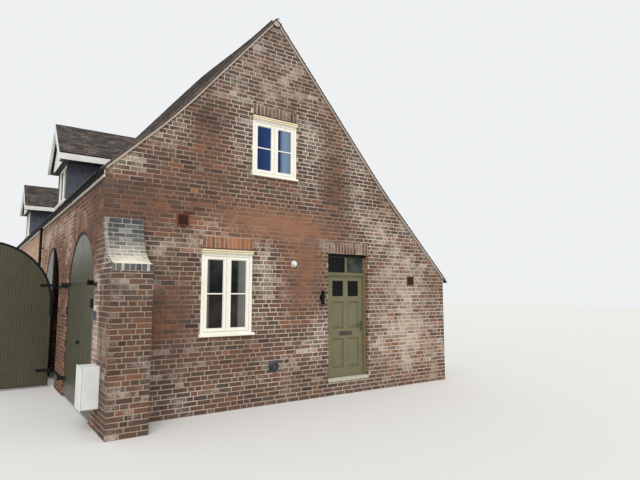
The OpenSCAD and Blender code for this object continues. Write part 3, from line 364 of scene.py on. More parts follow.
# Soft patches of wall: place, half sizes, shifts of firing, bloom and soot, and of the joints' tone
GABLE_ZONES = (
    (1.75, 3.95, 0.75, 0.8, (0.04, -0.13, -0.05), -0.26),
    (1.72, 3.2, 0.25, 0.17, (0, 0.4, 0), 0.5),
    (5.3, 3.4, 0.7, 0.4, (0, 0.2, 0), 0.25),
    (0.9, 3.95, 0.3, 0.25, (0, -0.25, 0), -0.25),
    (2.9, 3.24, 1.5, 0.3, (0.12, -0.12, -0.15), -0.25),
    (3.68, 2.45, 0.48, 0.8, (0.12, -0.25, -0.15), -0.5),
    (0.95, 1.6, 0.4, 0.45, (0.16, -0.25, -0.05), -0.55),
    (0.8, 3.35, 0.9, 0.3, (0.05, -0.2, -0.05), -0.3),
    (4.45, 3.95, 0.4, 0.75, (-0.04, -0.3, 0), -0.42),
    (4.8, 3.25, 0.4, 0.25, (0.1, -0.1, 0), -0.15),
    (1.6, 5.0, 0.35, 0.35, (-0.02, -0.3, 0), -0.4),
    (1.9, 0.8, 0.9, 0.3, (0.08, -0.1, 0), -0.15),
    (0.88, 2.72, 0.16, 0.12, (0, 0.35, 0.1), 0.3),
    (1.0, 2.35, 0.5, 0.5, (-0.03, 0.1, 0.12), -0.3),
    (0.3, 4.05, 0.5, 0.22, (0, 0.4, 0.15), 0.35),
    (0.25, 3.45, 0.45, 0.35, (-0.1, -0.3, 0.1), -0.5),
    (3.98, 1.3, 0.3, 0.38, (0, 0.4, 0.1), 0.45),
    (2.06, 2.84, 0.55, 0.14, (0, 0, 0), -0.45),
    (0.9, 4.75, 0.45, 0.3, (0, 0.3, 0.1), 0.3),
    (2.97, 6.3, 1.2, 1.0, (-0.02, 0.2, 0.15), 0.15),
    (2.3, 4.7, 0.25, 0.7, (0, 0.2, 0.1), 0.4),
    (3.75, 4.6, 0.25, 0.8, (0, 0.3, 0.1), 0.45),
    (5.0, 4.4, 0.35, 0.8, (-0.05, 0.25, 0.2), 0.35),
    (1.85, 2.85, 0.55, 0.22, (0.05, 0.4, 0), 0.5),
    (2.78, 2.3, 0.25, 0.75, (0, 0.33, 0.15), 0.4),
    (4.1, 2.9, 0.6, 0.2, (0, 0.3, 0.1), 0.2),
    (6.2, 2.4, 0.9, 1.0, (0.1, 0.32, 0.05), 0.25),
    (6.4, 0.9, 1.1, 0.8, (0.25, 0.42, -0.1), 0.35),
    (3.55, 0.85, 0.5, 0.3, (0.05, 0.15, 0.1), 0.1),
    (0.9, 0.6, 0.4, 0.4, (-0.05, 0.15, 0.25), 0),
)
SIDE_ZONES = (
    (3.5, 2.6, 5.0, 2.2, (0, 0, 0), -0.42),
    (0.5, 3.3, 0.5, 0.7, (-0.1, -0.2, 0.1), -0.4),
    (5.0, 3.45, 3.4, 0.3, (0.1, 0.4, -0.05), 0.5),
    (3.1, 3.0, 0.5, 0.5, (0.15, 0.35, -0.1), 0.4),
    (7.0, 3.0, 1.0, 1.2, (0.2, 0.25, -0.1), 0.3),
    (0.1, 1.3, 0.5, 1.2, (0.1, 0.55, -0.05), 0.95),
)
# Patches that only change the joints, or that stain bricks and joints by a depth: they shift no marks
BAND_ZONES = ((BUTT_W / 2, FLOOR_Z + BUTT_LOW, 0.4, 0.25, None, 0.7),)
WASHES = ((3.0, 3.24, 1.05, 0.26, None, 1.15), (3.72, 2.75, 0.4, 0.4, None, 0.55),
          (3.62, 2.0, 0.35, 0.5, None, 0.4))

brickwork = weathered_brick("old brick", *OLD_REDS, washes=WASHES)
orange_brickwork = weathered_brick("orange brick", *ORANGES)
blue_brickwork = weathered_brick("blue brick", *BLUES, lime="#aaa897")
lime_mortar = mortar_finish("lime mortar", "#7f6454", "#b3a18f", "#d3c7b8", OLD_REDS,
                            ((GABLE_ZONES, "gable"), (SIDE_ZONES, "side")), WASHES)
buttress_mortar = mortar_finish("mortar of the buttress", "#76604f", "#9f8c7a", "#bcad9c")
orange_mortar = mortar_finish("mortar in the orange brickwork", "#a98e74", "#c6b096", "#d8c6ac", ORANGES)
pale_bedding = mortar_finish("pale joints of the weathering", "#77736a", "#9d978a", "#ddd4c4",
                             zones=((BAND_ZONES, "buttress"),))
bedding = mortar_finish("bedding mortar", "#93867a", "#afa195", "#c4b9ae")
# Real mortar fillets, darkened as painted shade under the soldiers and in the split of the drip boards
shade_bedding = mortar_finish("mortar darkened as painted shade over the drip boards", "#332a24", "#4a3e36", "#6b5c50")
tiling = tile_finish("clay tile", (0.0, "#2f2d2c"), (0.35, "#48423f"), (0.65, "#5f5651"), (1.0, "#857364"))

cream = painted("cream paint", "#efece1", "#e3dfd0")
barge_white = painted("white paint", "#e6e5e1", "#d3d2cd")
olive = painted("olive door paint", "#6d684b", "#635e43", 0.42)
gate_olive = painted("olive gate paint", "#474632", "#3e3d2b", 0.34)
buff = painted("buff drip boards", "#e9ddb9", "#d8c9a3", grain=(0.06, 1.0, 1.0))
# Near-black boards as painted shade: the shadow line under the fascias and the soffits of the dormers
shaded_wood = painted("boards darkened as painted shade", "#2f2b29", "#232120", 0.7)
iron = black_iron()
panes = window_panes()

BOARD_GRAIN = (1.0, 0.08, 1.0)
CLAY = ((40, 5, 0.6), (150,), (0.4, 0.001), 0.8, 0.3)
MOULDED = ((5, 4, 0.6), (400, 2), (0.12, 0.0005), 0.5, 0.5, 0.6)
rafters = two_tone("tile underlay and rafters", "#332c29", "#483e39", (8, 5, 0.6), (90,),
                   (0.4, 0.003), 0.9, 0.2)
slates = two_tone("hung slate", "#3a3f48", "#545a64", (14, 5, 0.65, (1.0, 1.0, 0.4)), (60, 5),
                  (0.35, 0.002), 0.6, 0.4)
floor_boards = two_tone("floor boards", "#7b6a54", "#a8957a", (24, 5, 0.6, BOARD_GRAIN),
                        (80, 4, 0.6, BOARD_GRAIN), (0.3, 0.001), 0.7)
terracotta = two_tone("terracotta", "#5e2f23", "#7c4231", *CLAY)
# Clay darkened as painted shade, for the vents' blades and the plate behind them
shade_clay = two_tone("clay darkened as painted shade", "#2c1712", "#43231b", *CLAY)
pale_stone = two_tone("pale stone", "#a39d8e", "#c0baab", *CLAY)
white_plastic = two_tone("white moulded box", "#cfcfcc", "#dededc", *MOULDED)
bronze = two_tone("worn bronze", "#2d2922", "#4a4337", *MOULDED)
flue_grey = two_tone("grey flue", "#30353a", "#4a5157", *MOULDED)
grey_plastic = two_tone("grey key pad", "#3c4145", "#585f63", *MOULDED)

NODE_FINISHES = {
    lime_mortar: ("front_wall_left", "front_wall_right", "front_gable", "soldier_courses",
                  "side_wall_piers", "side_wall_arcade", "arch_rings", "right_wall", "party_wall"),
    buttress_mortar: ("buttress",),
    orange_mortar: ("side_wall_back",),
    pale_bedding: ("buttress_weathering",),
    bedding: ("verge_mortar", "ground_floor"),
    pale_stone: ("door_sill",),
    rafters: ("roof_left", "roof_right", "verge_tiles", "dormer_roofs"),
    slates: ("dormer_cheeks",),
    barge_white: ("dormer_boards",),
    cream: ("dormer_windows", "low_window", "high_window", "eaves_boards"),
    panes: ("window_glass", "door_glass"),
    olive: ("door_frame", "front_door"),
    gate_olive: ("gate_one_near", "gate_one_far", "gate_two_near", "gate_two_far"),
    bronze: ("door_furniture",),
    iron: ("frame_one_near", "frame_one_far", "frame_two_near", "frame_two_far", "hinge_pins",
           "rainwater_goods", "wall_lamp"),
    terracotta: ("air_bricks",),
    white_plastic: ("meter_box", "wall_fittings"),
    floor_boards: ("upper_floor",),
    tiling: ("ridge_tiles",),
}
for material, names in NODE_FINISHES.items():
    for name in names:
        slots = nodes[name].data.materials
        slots.clear()
        slots.append(material)


# Modelling by hand

def take(*pieces):
    """Selects these pieces alone, the first one active"""
    bpy.ops.object.select_all(action="DESELECT")
    for piece in pieces:
        piece.select_set(True)
    bpy.context.view_layer.objects.active = pieces[0]


def settle(piece, size=None):
    """Puts the piece's place, turn and size into its mesh"""
    if size is not None:
        piece.scale = size
    take(piece)
    bpy.ops.object.transform_apply(location=True, rotation=True, scale=True)
    return piece


def block(low, high):
    """Cube primitive from corner to corner"""
    low, high = Vector(low), Vector(high)
    bpy.ops.mesh.primitive_cube_add(size=1, location=(low + high) / 2)
    return settle(bpy.context.object, high - low)


def plate(centre, wide, deep, turn=(0, 0, 0)):
    """Plane primitive round a centre"""
    bpy.ops.mesh.primitive_plane_add(size=1, location=centre, rotation=turn)
    return settle(bpy.context.object, (wide, deep, 1))


def drum(centre, radius, depth, axis="Z", sides=24, radius_top=None):
    """Cylinder or cone primitive round an axis, centred"""
    turn = {"X": (0, math.pi / 2, 0), "Y": (math.pi / 2, 0, 0), "Z": (0, 0, 0)}[axis]
    bpy.ops.mesh.primitive_cone_add(vertices=sides, radius1=radius, radius2=radius_top or radius,
                                    depth=depth, location=centre, rotation=turn)
    return settle(bpy.context.object)


def edit(piece, mode, action="SELECT"):
    """Opens a piece for editing, with all or none of it selected"""
    take(piece)
    bpy.ops.object.mode_set(mode="EDIT")
    bpy.ops.mesh.select_mode(type=mode)
    bpy.ops.mesh.select_all(action=action)
    return bmesh.from_edit_mesh(piece.data)


def pick_out(piece, mode, pick):
    """Opens a piece for editing, with the picked points, edges or faces selected"""
    bm = edit(piece, mode, "DESELECT")
    for part in {"VERT": bm.verts, "EDGE": bm.edges, "FACE": bm.faces}[mode]:
        if pick(part):
            part.select_set(True)


def done(piece):
    bmesh.update_edit_mesh(piece.data)
    bpy.ops.object.mode_set(mode="OBJECT")
    return piece


def middle(points):
    return sum((v.co for v in points), Vector()) / len(points)


def soften(piece, width, segments=1, pick=lambda centre: True):
    """Bevels the edges whose centres are picked"""
    pick_out(piece, "EDGE", lambda e: pick(middle(e.verts)))
    bpy.ops.mesh.bevel(offset=width, segments=segments, affect="EDGES")
    return done(piece)


def bar(low, high, width, segments=1):
    """Squared timber or iron with eased edges"""
    return soften(block(low, high), width, segments)


def shifted(piece, shift, pick):
    """Moves the points that are picked by place"""
    pick_out(piece, "VERT", lambda v: pick(v.co))
    bpy.ops.transform.translate(value=shift)
    return done(piece)


def weathered(piece, fall):
    """Lowers the front of a sill's top, so that rain runs off"""
    centre = middle(piece.data.vertices)
    return shifted(piece, (0, 0, -fall), lambda c: c.y < centre.y and c.z > centre.z)


def drawn_in(piece, pick, *steps):
    """Insets the picked face again and again: pairs of inset and depth, positive outward"""
    pick_out(piece, "FACE", pick)
    for thickness, depth in steps:
        bpy.ops.mesh.inset(thickness=thickness, depth=depth)
    return done(piece)


def split(piece, y):
    """New edges round a piece at one place along Y"""
    edit(piece, "FACE")
    bpy.ops.mesh.bisect(plane_co=(0, y, 0), plane_no=(0, 1, 0))
    return done(piece)


def closed(piece):
    """Welds doubles, caps open ends and turns every face outward"""
    edit(piece, "VERT")
    bpy.ops.mesh.remove_doubles(threshold=0.00001)
    bpy.ops.mesh.fill_holes(sides=0)
    bpy.ops.mesh.select_all(action="SELECT")
    bpy.ops.mesh.normals_make_consistent(inside=False)
    return done(piece)


def spun(piece, steps, angle, centre, axis):
    """Solid swept by a flat section that turns round an axis"""
    edit(piece, "FACE")
    bpy.ops.mesh.spin(steps=steps, angle=angle, center=centre, axis=axis)
    return closed(done(piece))


def mitred(x0, z0, x1, z1, front, back, width, ease):
    """Mitred frame in the gable's plane, its front edges eased"""
    piece = plate(((x0 + x1) / 2, back, (z0 + z1) / 2), x1 - x0, z1 - z0, (math.pi / 2, 0, 0))
    edit(piece, "FACE")
    bpy.ops.mesh.inset(thickness=width)
    bpy.ops.mesh.delete(type="FACE")
    bpy.ops.mesh.select_all(action="SELECT")
    bpy.ops.mesh.extrude_region_move(TRANSFORM_OT_translate={"value": (0, front - back, 0)})
    return soften(closed(done(piece)), ease, 1, lambda c: c.y < front + 0.0001)


def joined(parts):
    """One piece from several"""
    take(*parts)
    if len(parts) > 1:
        bpy.ops.object.join()
    return settle(parts[0])


def copied(model, matrix):
    """Copy of a model with its own mesh, moved by a matrix"""
    piece = model.copy()
    piece.data = model.data.copy()
    bpy.context.scene.collection.objects.link(piece)
    piece.data.transform(matrix)
    if matrix.determinant() < 0:
        piece.data.flip_normals()
    return piece


def copies(model, matrices):
    """Copies at several places. The model is put away"""
    made = [copied(model, matrix) for matrix in matrices]
    bpy.data.objects.remove(model)
    return made


def shift_of(x, y, z):
    return Matrix.Translation((x, y, z))


def hand_over(piece, name, slot, material, *stands_for, body="house"):
    """Names a finished piece, dresses it and fixes it to its body"""
    if isinstance(piece, list):
        piece = joined(piece)
    piece.name = name
    piece.data.materials.clear()
    piece.data.materials.append(material)
    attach(piece, body)
    if stands_for:
        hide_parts(*stands_for)


# Arrays of bricks and tiles: one is modelled, its copies are joined in one mesh

class Array:
    """Points, faces and marks of many copies, gathered for one mesh"""

    def __init__(self):
        self.points, self.faces, self.marks, self.count = [], [], [], 0

    def add(self, points, faces, marks=(0, 0, 0)):
        """marks holds one set of greys for the whole copy, or one for each point"""
        self.points.append(np.asarray(points, float))
        self.faces.extend([tuple(i + self.count for i in f) for f in faces])
        self.marks.append(np.broadcast_to(np.asarray(marks, float), (len(points), 3)))
        self.count += len(points)

    def mesh(self, name, turned=False):
        made = bpy.data.meshes.new(name)
        made.from_pydata(np.concatenate(self.points).tolist(), [], self.faces)
        marks = np.clip(np.concatenate(self.marks), 0, 1)
        layer = made.attributes.new("marks", "FLOAT_COLOR", "POINT")
        layer.data.foreach_set("color", np.insert(marks, 3, 1, axis=1).ravel())
        made.validate()
        made.update()
        if turned:
            made.flip_normals()
        piece = bpy.data.objects.new(name, made)
        bpy.context.scene.collection.objects.link(piece)
        return piece


def pattern(piece):
    """Points and faces of a modelled piece, which is then put away"""
    points = np.array([v.co[:] for v in piece.data.vertices])
    faces = [tuple(p.vertices) for p in piece.data.polygons]
    bpy.data.objects.remove(piece)
    return points, faces


def model_brick():
    """Brick face and its worn edges, in wall axes: along, up, outward"""
    piece = block((-BRICK_L / 2, -BRICK_H / 2, -BRICK_D), (BRICK_L / 2, BRICK_H / 2, 0))
    return pattern(soften(piece, WORN, 1, lambda c: c.z > -0.0001))


def model_tile():
    """Tile in slope axes: along the eaves, up the slope, outward"""
    half = TILE_W / 2 - 0.0025
    piece = block((-half, 0, -TILE_T), (half, TILE_L, 0))
    return pattern(soften(piece, 0.004, 1, lambda c: c.z > -0.0001 and c.y < 0.0001))


BRICK = model_brick()
TILE = model_tile()


def brick_points(length, height):
    """Points of the modelled brick, stretched to a length and a height"""
    points = BRICK[0]
    return points + np.sign(points) * ((length - BRICK_L) / 2, (height - BRICK_H) / 2, 0)


def clipped(polygon, point, normal):
    """Part of a convex outline on the side that the normal points away from"""
    kept = []
    for a, b in zip(polygon, polygon[1:] + polygon[:1]):
        da = (a[0] - point[0]) * normal[0] + (a[1] - point[1]) * normal[1]
        db = (b[0] - point[0]) * normal[0] + (b[1] - point[1]) * normal[1]
        if da <= 0:
            kept.append(a)
        if (da < 0 < db) or (db < 0 < da):
            t = da / (da - db)
            kept.append((a[0] + t * (b[0] - a[0]), a[1] + t * (b[1] - a[1])))
    return kept


def area(polygon):
    return sum(a[0] * b[1] - b[0] * a[1] for a, b in zip(polygon, polygon[1:] + polygon[:1])) / 2


def tapered(polygon, inset):
    """Convex outline shrunk by the same inset on every side, or None if it vanishes"""
    shrunk = list(polygon)
    for a, b in zip(polygon, polygon[1:] + polygon[:1]):
        length = math.dist(a, b)
        if length < 1e-6:
            continue
        normal = ((b[1] - a[1]) / length, (a[0] - b[0]) / length)
        shrunk = clipped(shrunk, (a[0] - normal[0] * inset, a[1] - normal[1] * inset), normal)
    return shrunk if len(shrunk) > 2 and area(shrunk) > 1e-5 else None


# Faces of wall: the axis that they look along, where they stand on it and which way they look
GABLE, BACK = ("Y", 0, -1), ("Y", HOUSE_LEN, 1)
SIDE, RIGHT = ("X", 0, -1), ("X", HOUSE_W, 1)
BUTTRESS_FRONT, BUTTRESS_RIGHT = ("Y", -BUTT_OUT, -1), ("X", BUTT_W, 1)

# Pieces of brick smaller than this aren't laid
SHORTEST, THINNEST = 0.03, 0.012


class Wall:
    """Bricks on one face of wall, each placed by its distance along, up and outward"""

    def __init__(self, face, seed, zones=(), base=(0.38, 0.12, 0.12), spread=(0.12, 0.14, 0.22)):
        self.face, self.zones, self.base, self.spread = face, zones, base, spread
        self.random = random.Random(seed)
        self.array = Array()

    def add(self, points, faces, u, v):
        """Adds one brick, whose marks are shifted by soft patches of wall and by chance"""
        axis, at, way = self.face
        if axis == "Y":
            placed = [(p[0], at + way * p[2], p[1]) for p in points]
        else:
            placed = [(at + way * p[2], p[0], p[1]) for p in points]
        firing, bloom, soot_and_shade = [self.random.gauss(0, 1) * s for s in self.spread]
        marks = np.array(self.base, float)
        for zu, zv, wide, high, shifts, _ in self.zones:
            marks += math.exp(-((u - zu) / wide) ** 2 - ((v - zv) / high) ** 2) * np.array(shifts)
        self.array.add(placed, faces, marks + (firing, abs(bloom), abs(soot_and_shade)))

    def full(self, u0, u1, v0, v1):
        """Copy of the modelled brick between two places, its corners knocked a little"""
        centre = ((u0 + u1) / 2, (v0 + v1) / 2)
        proud = PROUD + self.random.uniform(-0.0015, 0.002)
        tilt = self.random.gauss(0, 0.006)
        points = []
        for u, v, d in brick_points(u1 - u0, v1 - v0):
            if d > -0.0005:
                u += self.random.uniform(-0.002, 0.002)
                v += self.random.uniform(-0.002, 0.002)
            points.append((centre[0] + u, centre[1] + v + u * tilt, d + proud))
        self.add(points, BRICK[1], *centre)

    def cut(self, polygon):
        """Brick cut to a convex outline"""
        inner = tapered(polygon, WORN)
        if not inner or area(polygon) < 0.0004:
            return
        n, m = len(polygon), len(inner)
        proud = PROUD + self.random.uniform(-0.0015, 0.002)
        points = [(*p, proud - depth) for depth in (BRICK_D, WORN) for p in polygon]
        points += [(*p, proud) for p in inner]
        ring = [(i, (i + 1) % n) for i in range(n)]
        faces = [tuple(range(n - 1, -1, -1)), tuple(range(2 * n, 2 * n + m))]
        faces += [(i, j, n + j, n + i) for i, j in ring]
        if m == n:
            faces += [(n + i, n + j, 2 * n + j, 2 * n + i) for i, j in ring]
        else:
            faces.append(tuple(range(n, 2 * n)))
        self.add(points, faces, sum(p[0] for p in polygon) / n, sum(p[1] for p in polygon) / n)

    def lay(self, u0, u1, low, high, trims):
        """One brick, whole or cut by the trims (a point and an outward normal each)"""
        if u1 - u0 < SHORTEST or high - low < THINNEST:
            return
        polygon = [(u0, low), (u1, low), (u1, high), (u0, high)]
        for trim in trims:
            cut_by = trim((u0 + u1) / 2, (low + high) / 2)
            if cut_by:
                polygon = clipped(polygon, *cut_by)
                if len(polygon) < 3:
                    return
        if len(polygon) == 4 and area(polygon) > 0.999 * (u1 - u0) * (high - low):
            self.full(u0, u1, low, high)
        else:
            self.cut(polygon)

    def courses(self, u0, u1, v0, v1, holes=(), trims=(), stretchers=0.8):
        """Courses between two ends and two heights, round square holes and inside trims"""
        joints = []
        for k in range(int(v0 / GAUGE), int(v1 / GAUGE) + 1):
            bed = k * GAUGE + JOINT / 2
            bed, top = max(bed, v0), min(bed + BRICK_H, v1)
            if top - bed < THINNEST:
                continue
            joints = self.course_joints(u0, u1, joints, stretchers)
            for a, b, low, high in stretches(u0, u1, bed, top, holes):
                for j0, j1 in zip(joints, joints[1:]):
                    left = a if j0 <= a else j0 + JOINT / 2
                    right = b if j1 >= b else j1 - JOINT / 2
                    if left < b and right > a:
                        self.lay(left, right, low, high, trims)

    def course_joints(self, u0, u1, last, stretchers):
        """Upright joints of one course, kept clear of those in the course below"""
        joints = [u0]
        while joints[-1] < u1 - 0.07:
            for _ in range(8):
                length = BRICK_L if self.random.random() < stretchers else HEADER_L
                if len(joints) == 1:
                    length = self.random.choice((BRICK_L, HEADER_L, 0.75 * BRICK_L))
                at = joints[-1] + JOINT + length * self.random.uniform(0.97, 1.03)
                i = bisect.bisect(last, at)
                near = [abs(at - j) for j in last[max(0, i - 1):i + 1]]
                if not near or min(near) > 0.04:
                    break
            joints.append(at)
        joints[-1] = u1
        return joints

    def finish(self, name, slot="brick", material=brickwork):
        axis, _, way = self.face
        piece = self.array.mesh(name, turned=(axis == "X") == (way < 0))
        hand_over(piece, name, slot, material)


def stretches(u0, u1, low, high, holes):
    """Free stretches of a course round square holes, each with its own bed and top"""
    cuts = {u0, u1}
    for h in holes:
        if h[2] < high and h[3] > low:
            cuts.update(c for c in h[:2] if u0 < c < u1)
    cuts = sorted(cuts)
    free = []
    for a, b in zip(cuts, cuts[1:]):
        bed, top = low, high
        for h0, h1, h_low, h_high in holes:
            if h0 < (a + b) / 2 < h1:
                if h_low <= bed < h_high:
                    bed = h_high
                if h_low < top <= h_high:
                    top = h_low
        if top - bed > THINNEST:
            free.append((a, b, bed, top))
    return free


def slope_trims(y, depth):
    """Keep bricks under the left and the right slope, seen along the house"""
    def trim(v, way):
        x = slope_x(v + depth, y, way < 0)
        fall = roof_z(x, y) - roof_z(x + way * 0.05, y)
        return (x, v), tuple(Vector((fall * way, 0.05)).normalized())
    return (lambda _, v: trim(v, -1), lambda _, v: trim(v, 1))


def arch_trim(mid, radius):
    """Keeps bricks outside a ring, above its springing"""
    def trim(u, v):
        if v < SPRING_Z - GAUGE or abs(u - mid) > radius + BRICK_L:
            return None
        out = Vector((u - mid, max(v - SPRING_Z, 0.0)))
        if out.length > radius + BRICK_L:
            return None
        n = out.normalized()
        return (mid + n.x * radius, SPRING_Z + n.y * radius), (-n.x, -n.y)
    return trim


def lay_gable():
    holes = [(DOOR_X, DOOR_X + DOOR_W, FLOOR_Z - 0.06, FLOOR_Z + DOOR_H + SOLDIER_H),
             (-1, BUTT_W, -1, FLOOR_Z + BUTT_TOP)]
    for x, z, h in (LOW_WIN, HIGH_WIN):
        holes.append((x, x + WIN_W, FLOOR_Z + z, FLOOR_Z + z + h + DRIP_H + SOLDIER_H))
    wall = Wall(GABLE, 11, GABLE_ZONES)
    wall.courses(-PROUD, HOUSE_W + PROUD, 0, RIDGE_Z - VERGE_DEPTH, holes, slope_trims(0, VERGE_DEPTH), 0.66)
    wall.finish("gable_bricks")


def lay_sides():
    """The arcaded side, old brick up to the rainwater pipe and orange brick beyond, then right and back"""
    top = EAVES_Z - TILE_EDGE - FASCIA_H + 0.02
    wall = Wall(SIDE, 12, SIDE_ZONES, (0.52, 0.05, 0.1))
    wall.courses(-PROUD, PIPE_Y, 0, top, [(m - ARCH_R, m + ARCH_R, -1, SPRING_Z) for m in ARCH_MIDS],
                 [arch_trim(m, ARCH_R + RING_D) for m in ARCH_MIDS])
    wall.finish("side_bricks")
    wall = Wall(SIDE, 13, (), (0.68, 0.52, 0.0))
    wall.courses(PIPE_Y, HOUSE_LEN + PROUD, 0, top)
    wall.finish("side_bricks_far", "orange_brick", orange_brickwork)
    wall = Wall(RIGHT, 14, (), (0.42, 0.15, 0.15))
    wall.courses(-PROUD, HOUSE_LEN + PROUD, 0, roof_z(HOUSE_W, 0) - TILE_EDGE - FASCIA_H + 0.02)
    wall.finish("right_bricks")
    wall = Wall(BACK, 15, (), (0.42, 0.15, 0.15))
    wall.courses(-PROUD, HOUSE_W + PROUD, 0,
                 RIDGE_Z + RIDGE_LIFT - ROOF_T, (), slope_trims(HOUSE_LEN, ROOF_T))
    wall.finish("back_bricks")


def weathering_depth(z):
    """Reach of the buttress from the gable at a height"""
    s = min(1.0, max(0.0, (FLOOR_Z + BUTT_TOP - z) / (BUTT_TOP - BUTT_LOW)))
    return LEDGE + (BUTT_OUT - LEDGE) * (1 - math.sqrt(1 - s * s))


def lay_buttress():
    top = FLOOR_Z + BUTT_LOW - BAND_H
    zones = ((0.15, 2.1, 0.25, 0.25, (-0.1, 0.2, 0.5), 0), (0.3, 1.5, 0.6, 0.3, (0.12, -0.1, -0.1), 0),
             (0.3, 0.6, 0.6, 0.4, (0.1, 0.15, -0.1), 0))
    left_zones = ((-0.35, 2.8, 1.0, 0.5, (0, 0.2, 0.5), 0), (-0.35, 1.1, 1.0, 0.35, (0.05, 0.3, -0.05), 0))
    front = Wall(BUTTRESS_FRONT, 21, zones, (0.3, 0.08, 0.17), (0.13, 0.16, 0.15))
    front.courses(-PROUD, BUTT_W + PROUD, 0, top, stretchers=0.7)
    front.finish("buttress_front_bricks")

    def curve_trim(_, v):
        if v < top:
            return None
        slope = (weathering_depth(v + 0.02) - weathering_depth(v - 0.02)) / 0.04
        return (-weathering_depth(v), v), tuple(Vector((-1, -slope)).normalized())

    walls = (("left", Wall(SIDE, 22, left_zones, (0.35, 0.12, 0.2))),
             ("right", Wall(BUTTRESS_RIGHT, 23, zones, (0.36, 0.12, 0.15), (0.13, 0.16, 0.15))))
    for name, wall in walls:
        wall.courses(-BUTT_OUT - PROUD, -PROUD, 0, FLOOR_Z + BUTT_TOP, (), (curve_trim,), 0.6)
        wall.finish(f"buttress_{name}_bricks")


WEATHERING_STEPS, TOP_COURSE_H, SLIM_COURSES = 60, 0.085, 13


def lay_weathering():
    """Blue bricks on the buttress: a band at its foot, a curve of slim courses, a top course"""
    rng, array = random.Random(24), Array()
    line = []
    for i in range(WEATHERING_STEPS + 1):
        z = FLOOR_Z + BUTT_TOP - (BUTT_TOP - BUTT_LOW) * math.sin(math.pi / 2 * i / WEATHERING_STEPS)
        line.append((-weathering_depth(z), z))
    line[-1] = (-BUTT_OUT, FLOOR_Z + BUTT_LOW)
    lengths = [0.0]
    for a, b in zip(line, line[1:]):
        lengths.append(lengths[-1] + math.dist(a, b))
    pitch = (lengths[-1] - TOP_COURSE_H) / SLIM_COURSES
    full = BUTT_W + 2 * PROUD

    def along(s):
        """Place and direction at a length down the curve"""
        i = min(max(bisect.bisect(lengths, s) - 1, 0), WEATHERING_STEPS - 1)
        t = (s - lengths[i]) / (lengths[i + 1] - lengths[i])
        (y, z), b = line[i], line[i + 1]
        way = Vector((b[0] - y, b[1] - z))
        return y + t * way.x, z + t * way.y, way.normalized()

    def row(y, z, down, cuts, height, joint, marks):
        """One course across the buttress, its joints at shares of the width"""
        for k, (a, b) in enumerate(zip(cuts, cuts[1:])):
            x0, x1 = a * full - PROUD + joint, b * full - PROUD - joint
            greys = marks(k, (a + b) / 2)
            proud = PROUD + rng.uniform(-0.001, 0.002)
            points = []
            for u, v, d in brick_points(x1 - x0, height):
                out = d + proud
                points.append(((x0 + x1) / 2 + u,
                               y - down.x * v + down.y * out, z - down.y * v - down.x * out))
            array.add(points, BRICK[1], greys)

    def dark(k, _):
        return (rng.uniform(0.3, 0.55), 0.3, 0.1) if k == 0 else (rng.uniform(0.0, 0.2), 0.05, 0.0)

    def band(k, _):
        if k in (2, 7):
            return (0.7, 0.35, 0.0)
        return (rng.uniform(0.0, 0.3) + (0.3 if k == 0 else 0), 0.1, 0.0)

    row(*along(TOP_COURSE_H / 2), (0, 0.1, 0.44, 0.66, 1), TOP_COURSE_H - JOINT, JOINT / 2, dark)
    for r in range(SLIM_COURSES):
        pale = r / (SLIM_COURSES - 1)

        def fired(k, at):
            edge = abs(2 * at - 1.1)
            tone = 0.3 + 0.85 * pale ** 1.3 - 0.42 * edge * (1 - pale)
            tone += rng.uniform(-0.16, 0.16) * (1.2 - pale)
            bloom = 0.1 + 0.3 * (1 - edge) * (1 - pale) + rng.uniform(-0.1, 0.15)
            return (rng.uniform(0.35, 0.6), 0.3, 0.1) if k == 0 else (tone, bloom, 0.0)
        cuts = (0, 0.08, 0.36, 0.68, 1) if r % 2 else (0, 0.08, 0.21, 0.52, 0.83, 1)
        row(*along(TOP_COURSE_H + (r + 0.5) * pitch), cuts, pitch - JOINT * 0.8, JOINT / 3, fired)
    row(-BUTT_OUT, FLOOR_Z + BUTT_LOW - BAND_H / 2, Vector((0, -1)),
        (0, 0.1, 0.235, 0.28, 0.42, 0.56, 0.7, 0.84, 0.885, 1), BAND_H - JOINT / 2, JOINT / 4, band)
    hand_over(array.mesh("weathering_bricks"), "weathering_bricks", "blue_brick", blue_brickwork)


def lay_soldiers():
    """Upright bricks over the windows and the door"""
    low, high = [(x, FLOOR_Z + z + h + DRIP_H, WIN_W) for x, z, h in (LOW_WIN, HIGH_WIN)]
    greyer = ((low[0], low[1], 0.35, 0.5, (-0.3, 0.25, 0.4), 0),)
    spots = (("low_window", low, greyer, (0.62, 0.05, 0.0), orange_brickwork),
             ("high_window", high, (), (0.4, 0.3, 0.3), brickwork),
             ("door", (DOOR_X, FLOOR_Z + DOOR_H, DOOR_W), (), (0.4, 0.3, 0.3), brickwork))
    for seed, (name, (x, z, width), zones, base, material) in enumerate(spots, 31):
        wall = Wall(GABLE, seed, zones, base, (0.13, 0.1, 0.12))
        count = round(width / GAUGE)
        for k in range(count):
            u = x + k * width / count
            wall.full(u + JOINT / 2, u + width / count - JOINT / 2, z + 0.003, z + SOLDIER_H - JOINT / 2)
        wall.finish(f"soldiers_{name}", "orange_brick", material)


RING_BRICKS = 54


def lay_rings():
    """Arch rings of bricks on edge, the intrados turned into the opening"""
    wall = Wall(SIDE, 41, SIDE_ZONES, (0.55, 0.15, 0.05), (0.15, 0.14, 0.2))
    outer = ARCH_R + RING_D - JOINT / 2
    for mid in ARCH_MIDS:
        for k in range(RING_BRICKS):
            polygon = []
            for radius, end, way in ((ARCH_R, k, 1), (ARCH_R, k + 1, -1), (outer, k + 1, -1), (outer, k, 1)):
                angle = math.pi * end / RING_BRICKS + way * JOINT / 2 / radius
                polygon.append((mid - radius * math.cos(angle), SPRING_Z + radius * math.sin(angle)))
            wall.cut(polygon)
    wall.finish("arch_ring_bricks", "orange_brick")


lay_gable()
lay_sides()
lay_buttress()
lay_weathering()
lay_soldiers()
lay_rings()


# Tiling

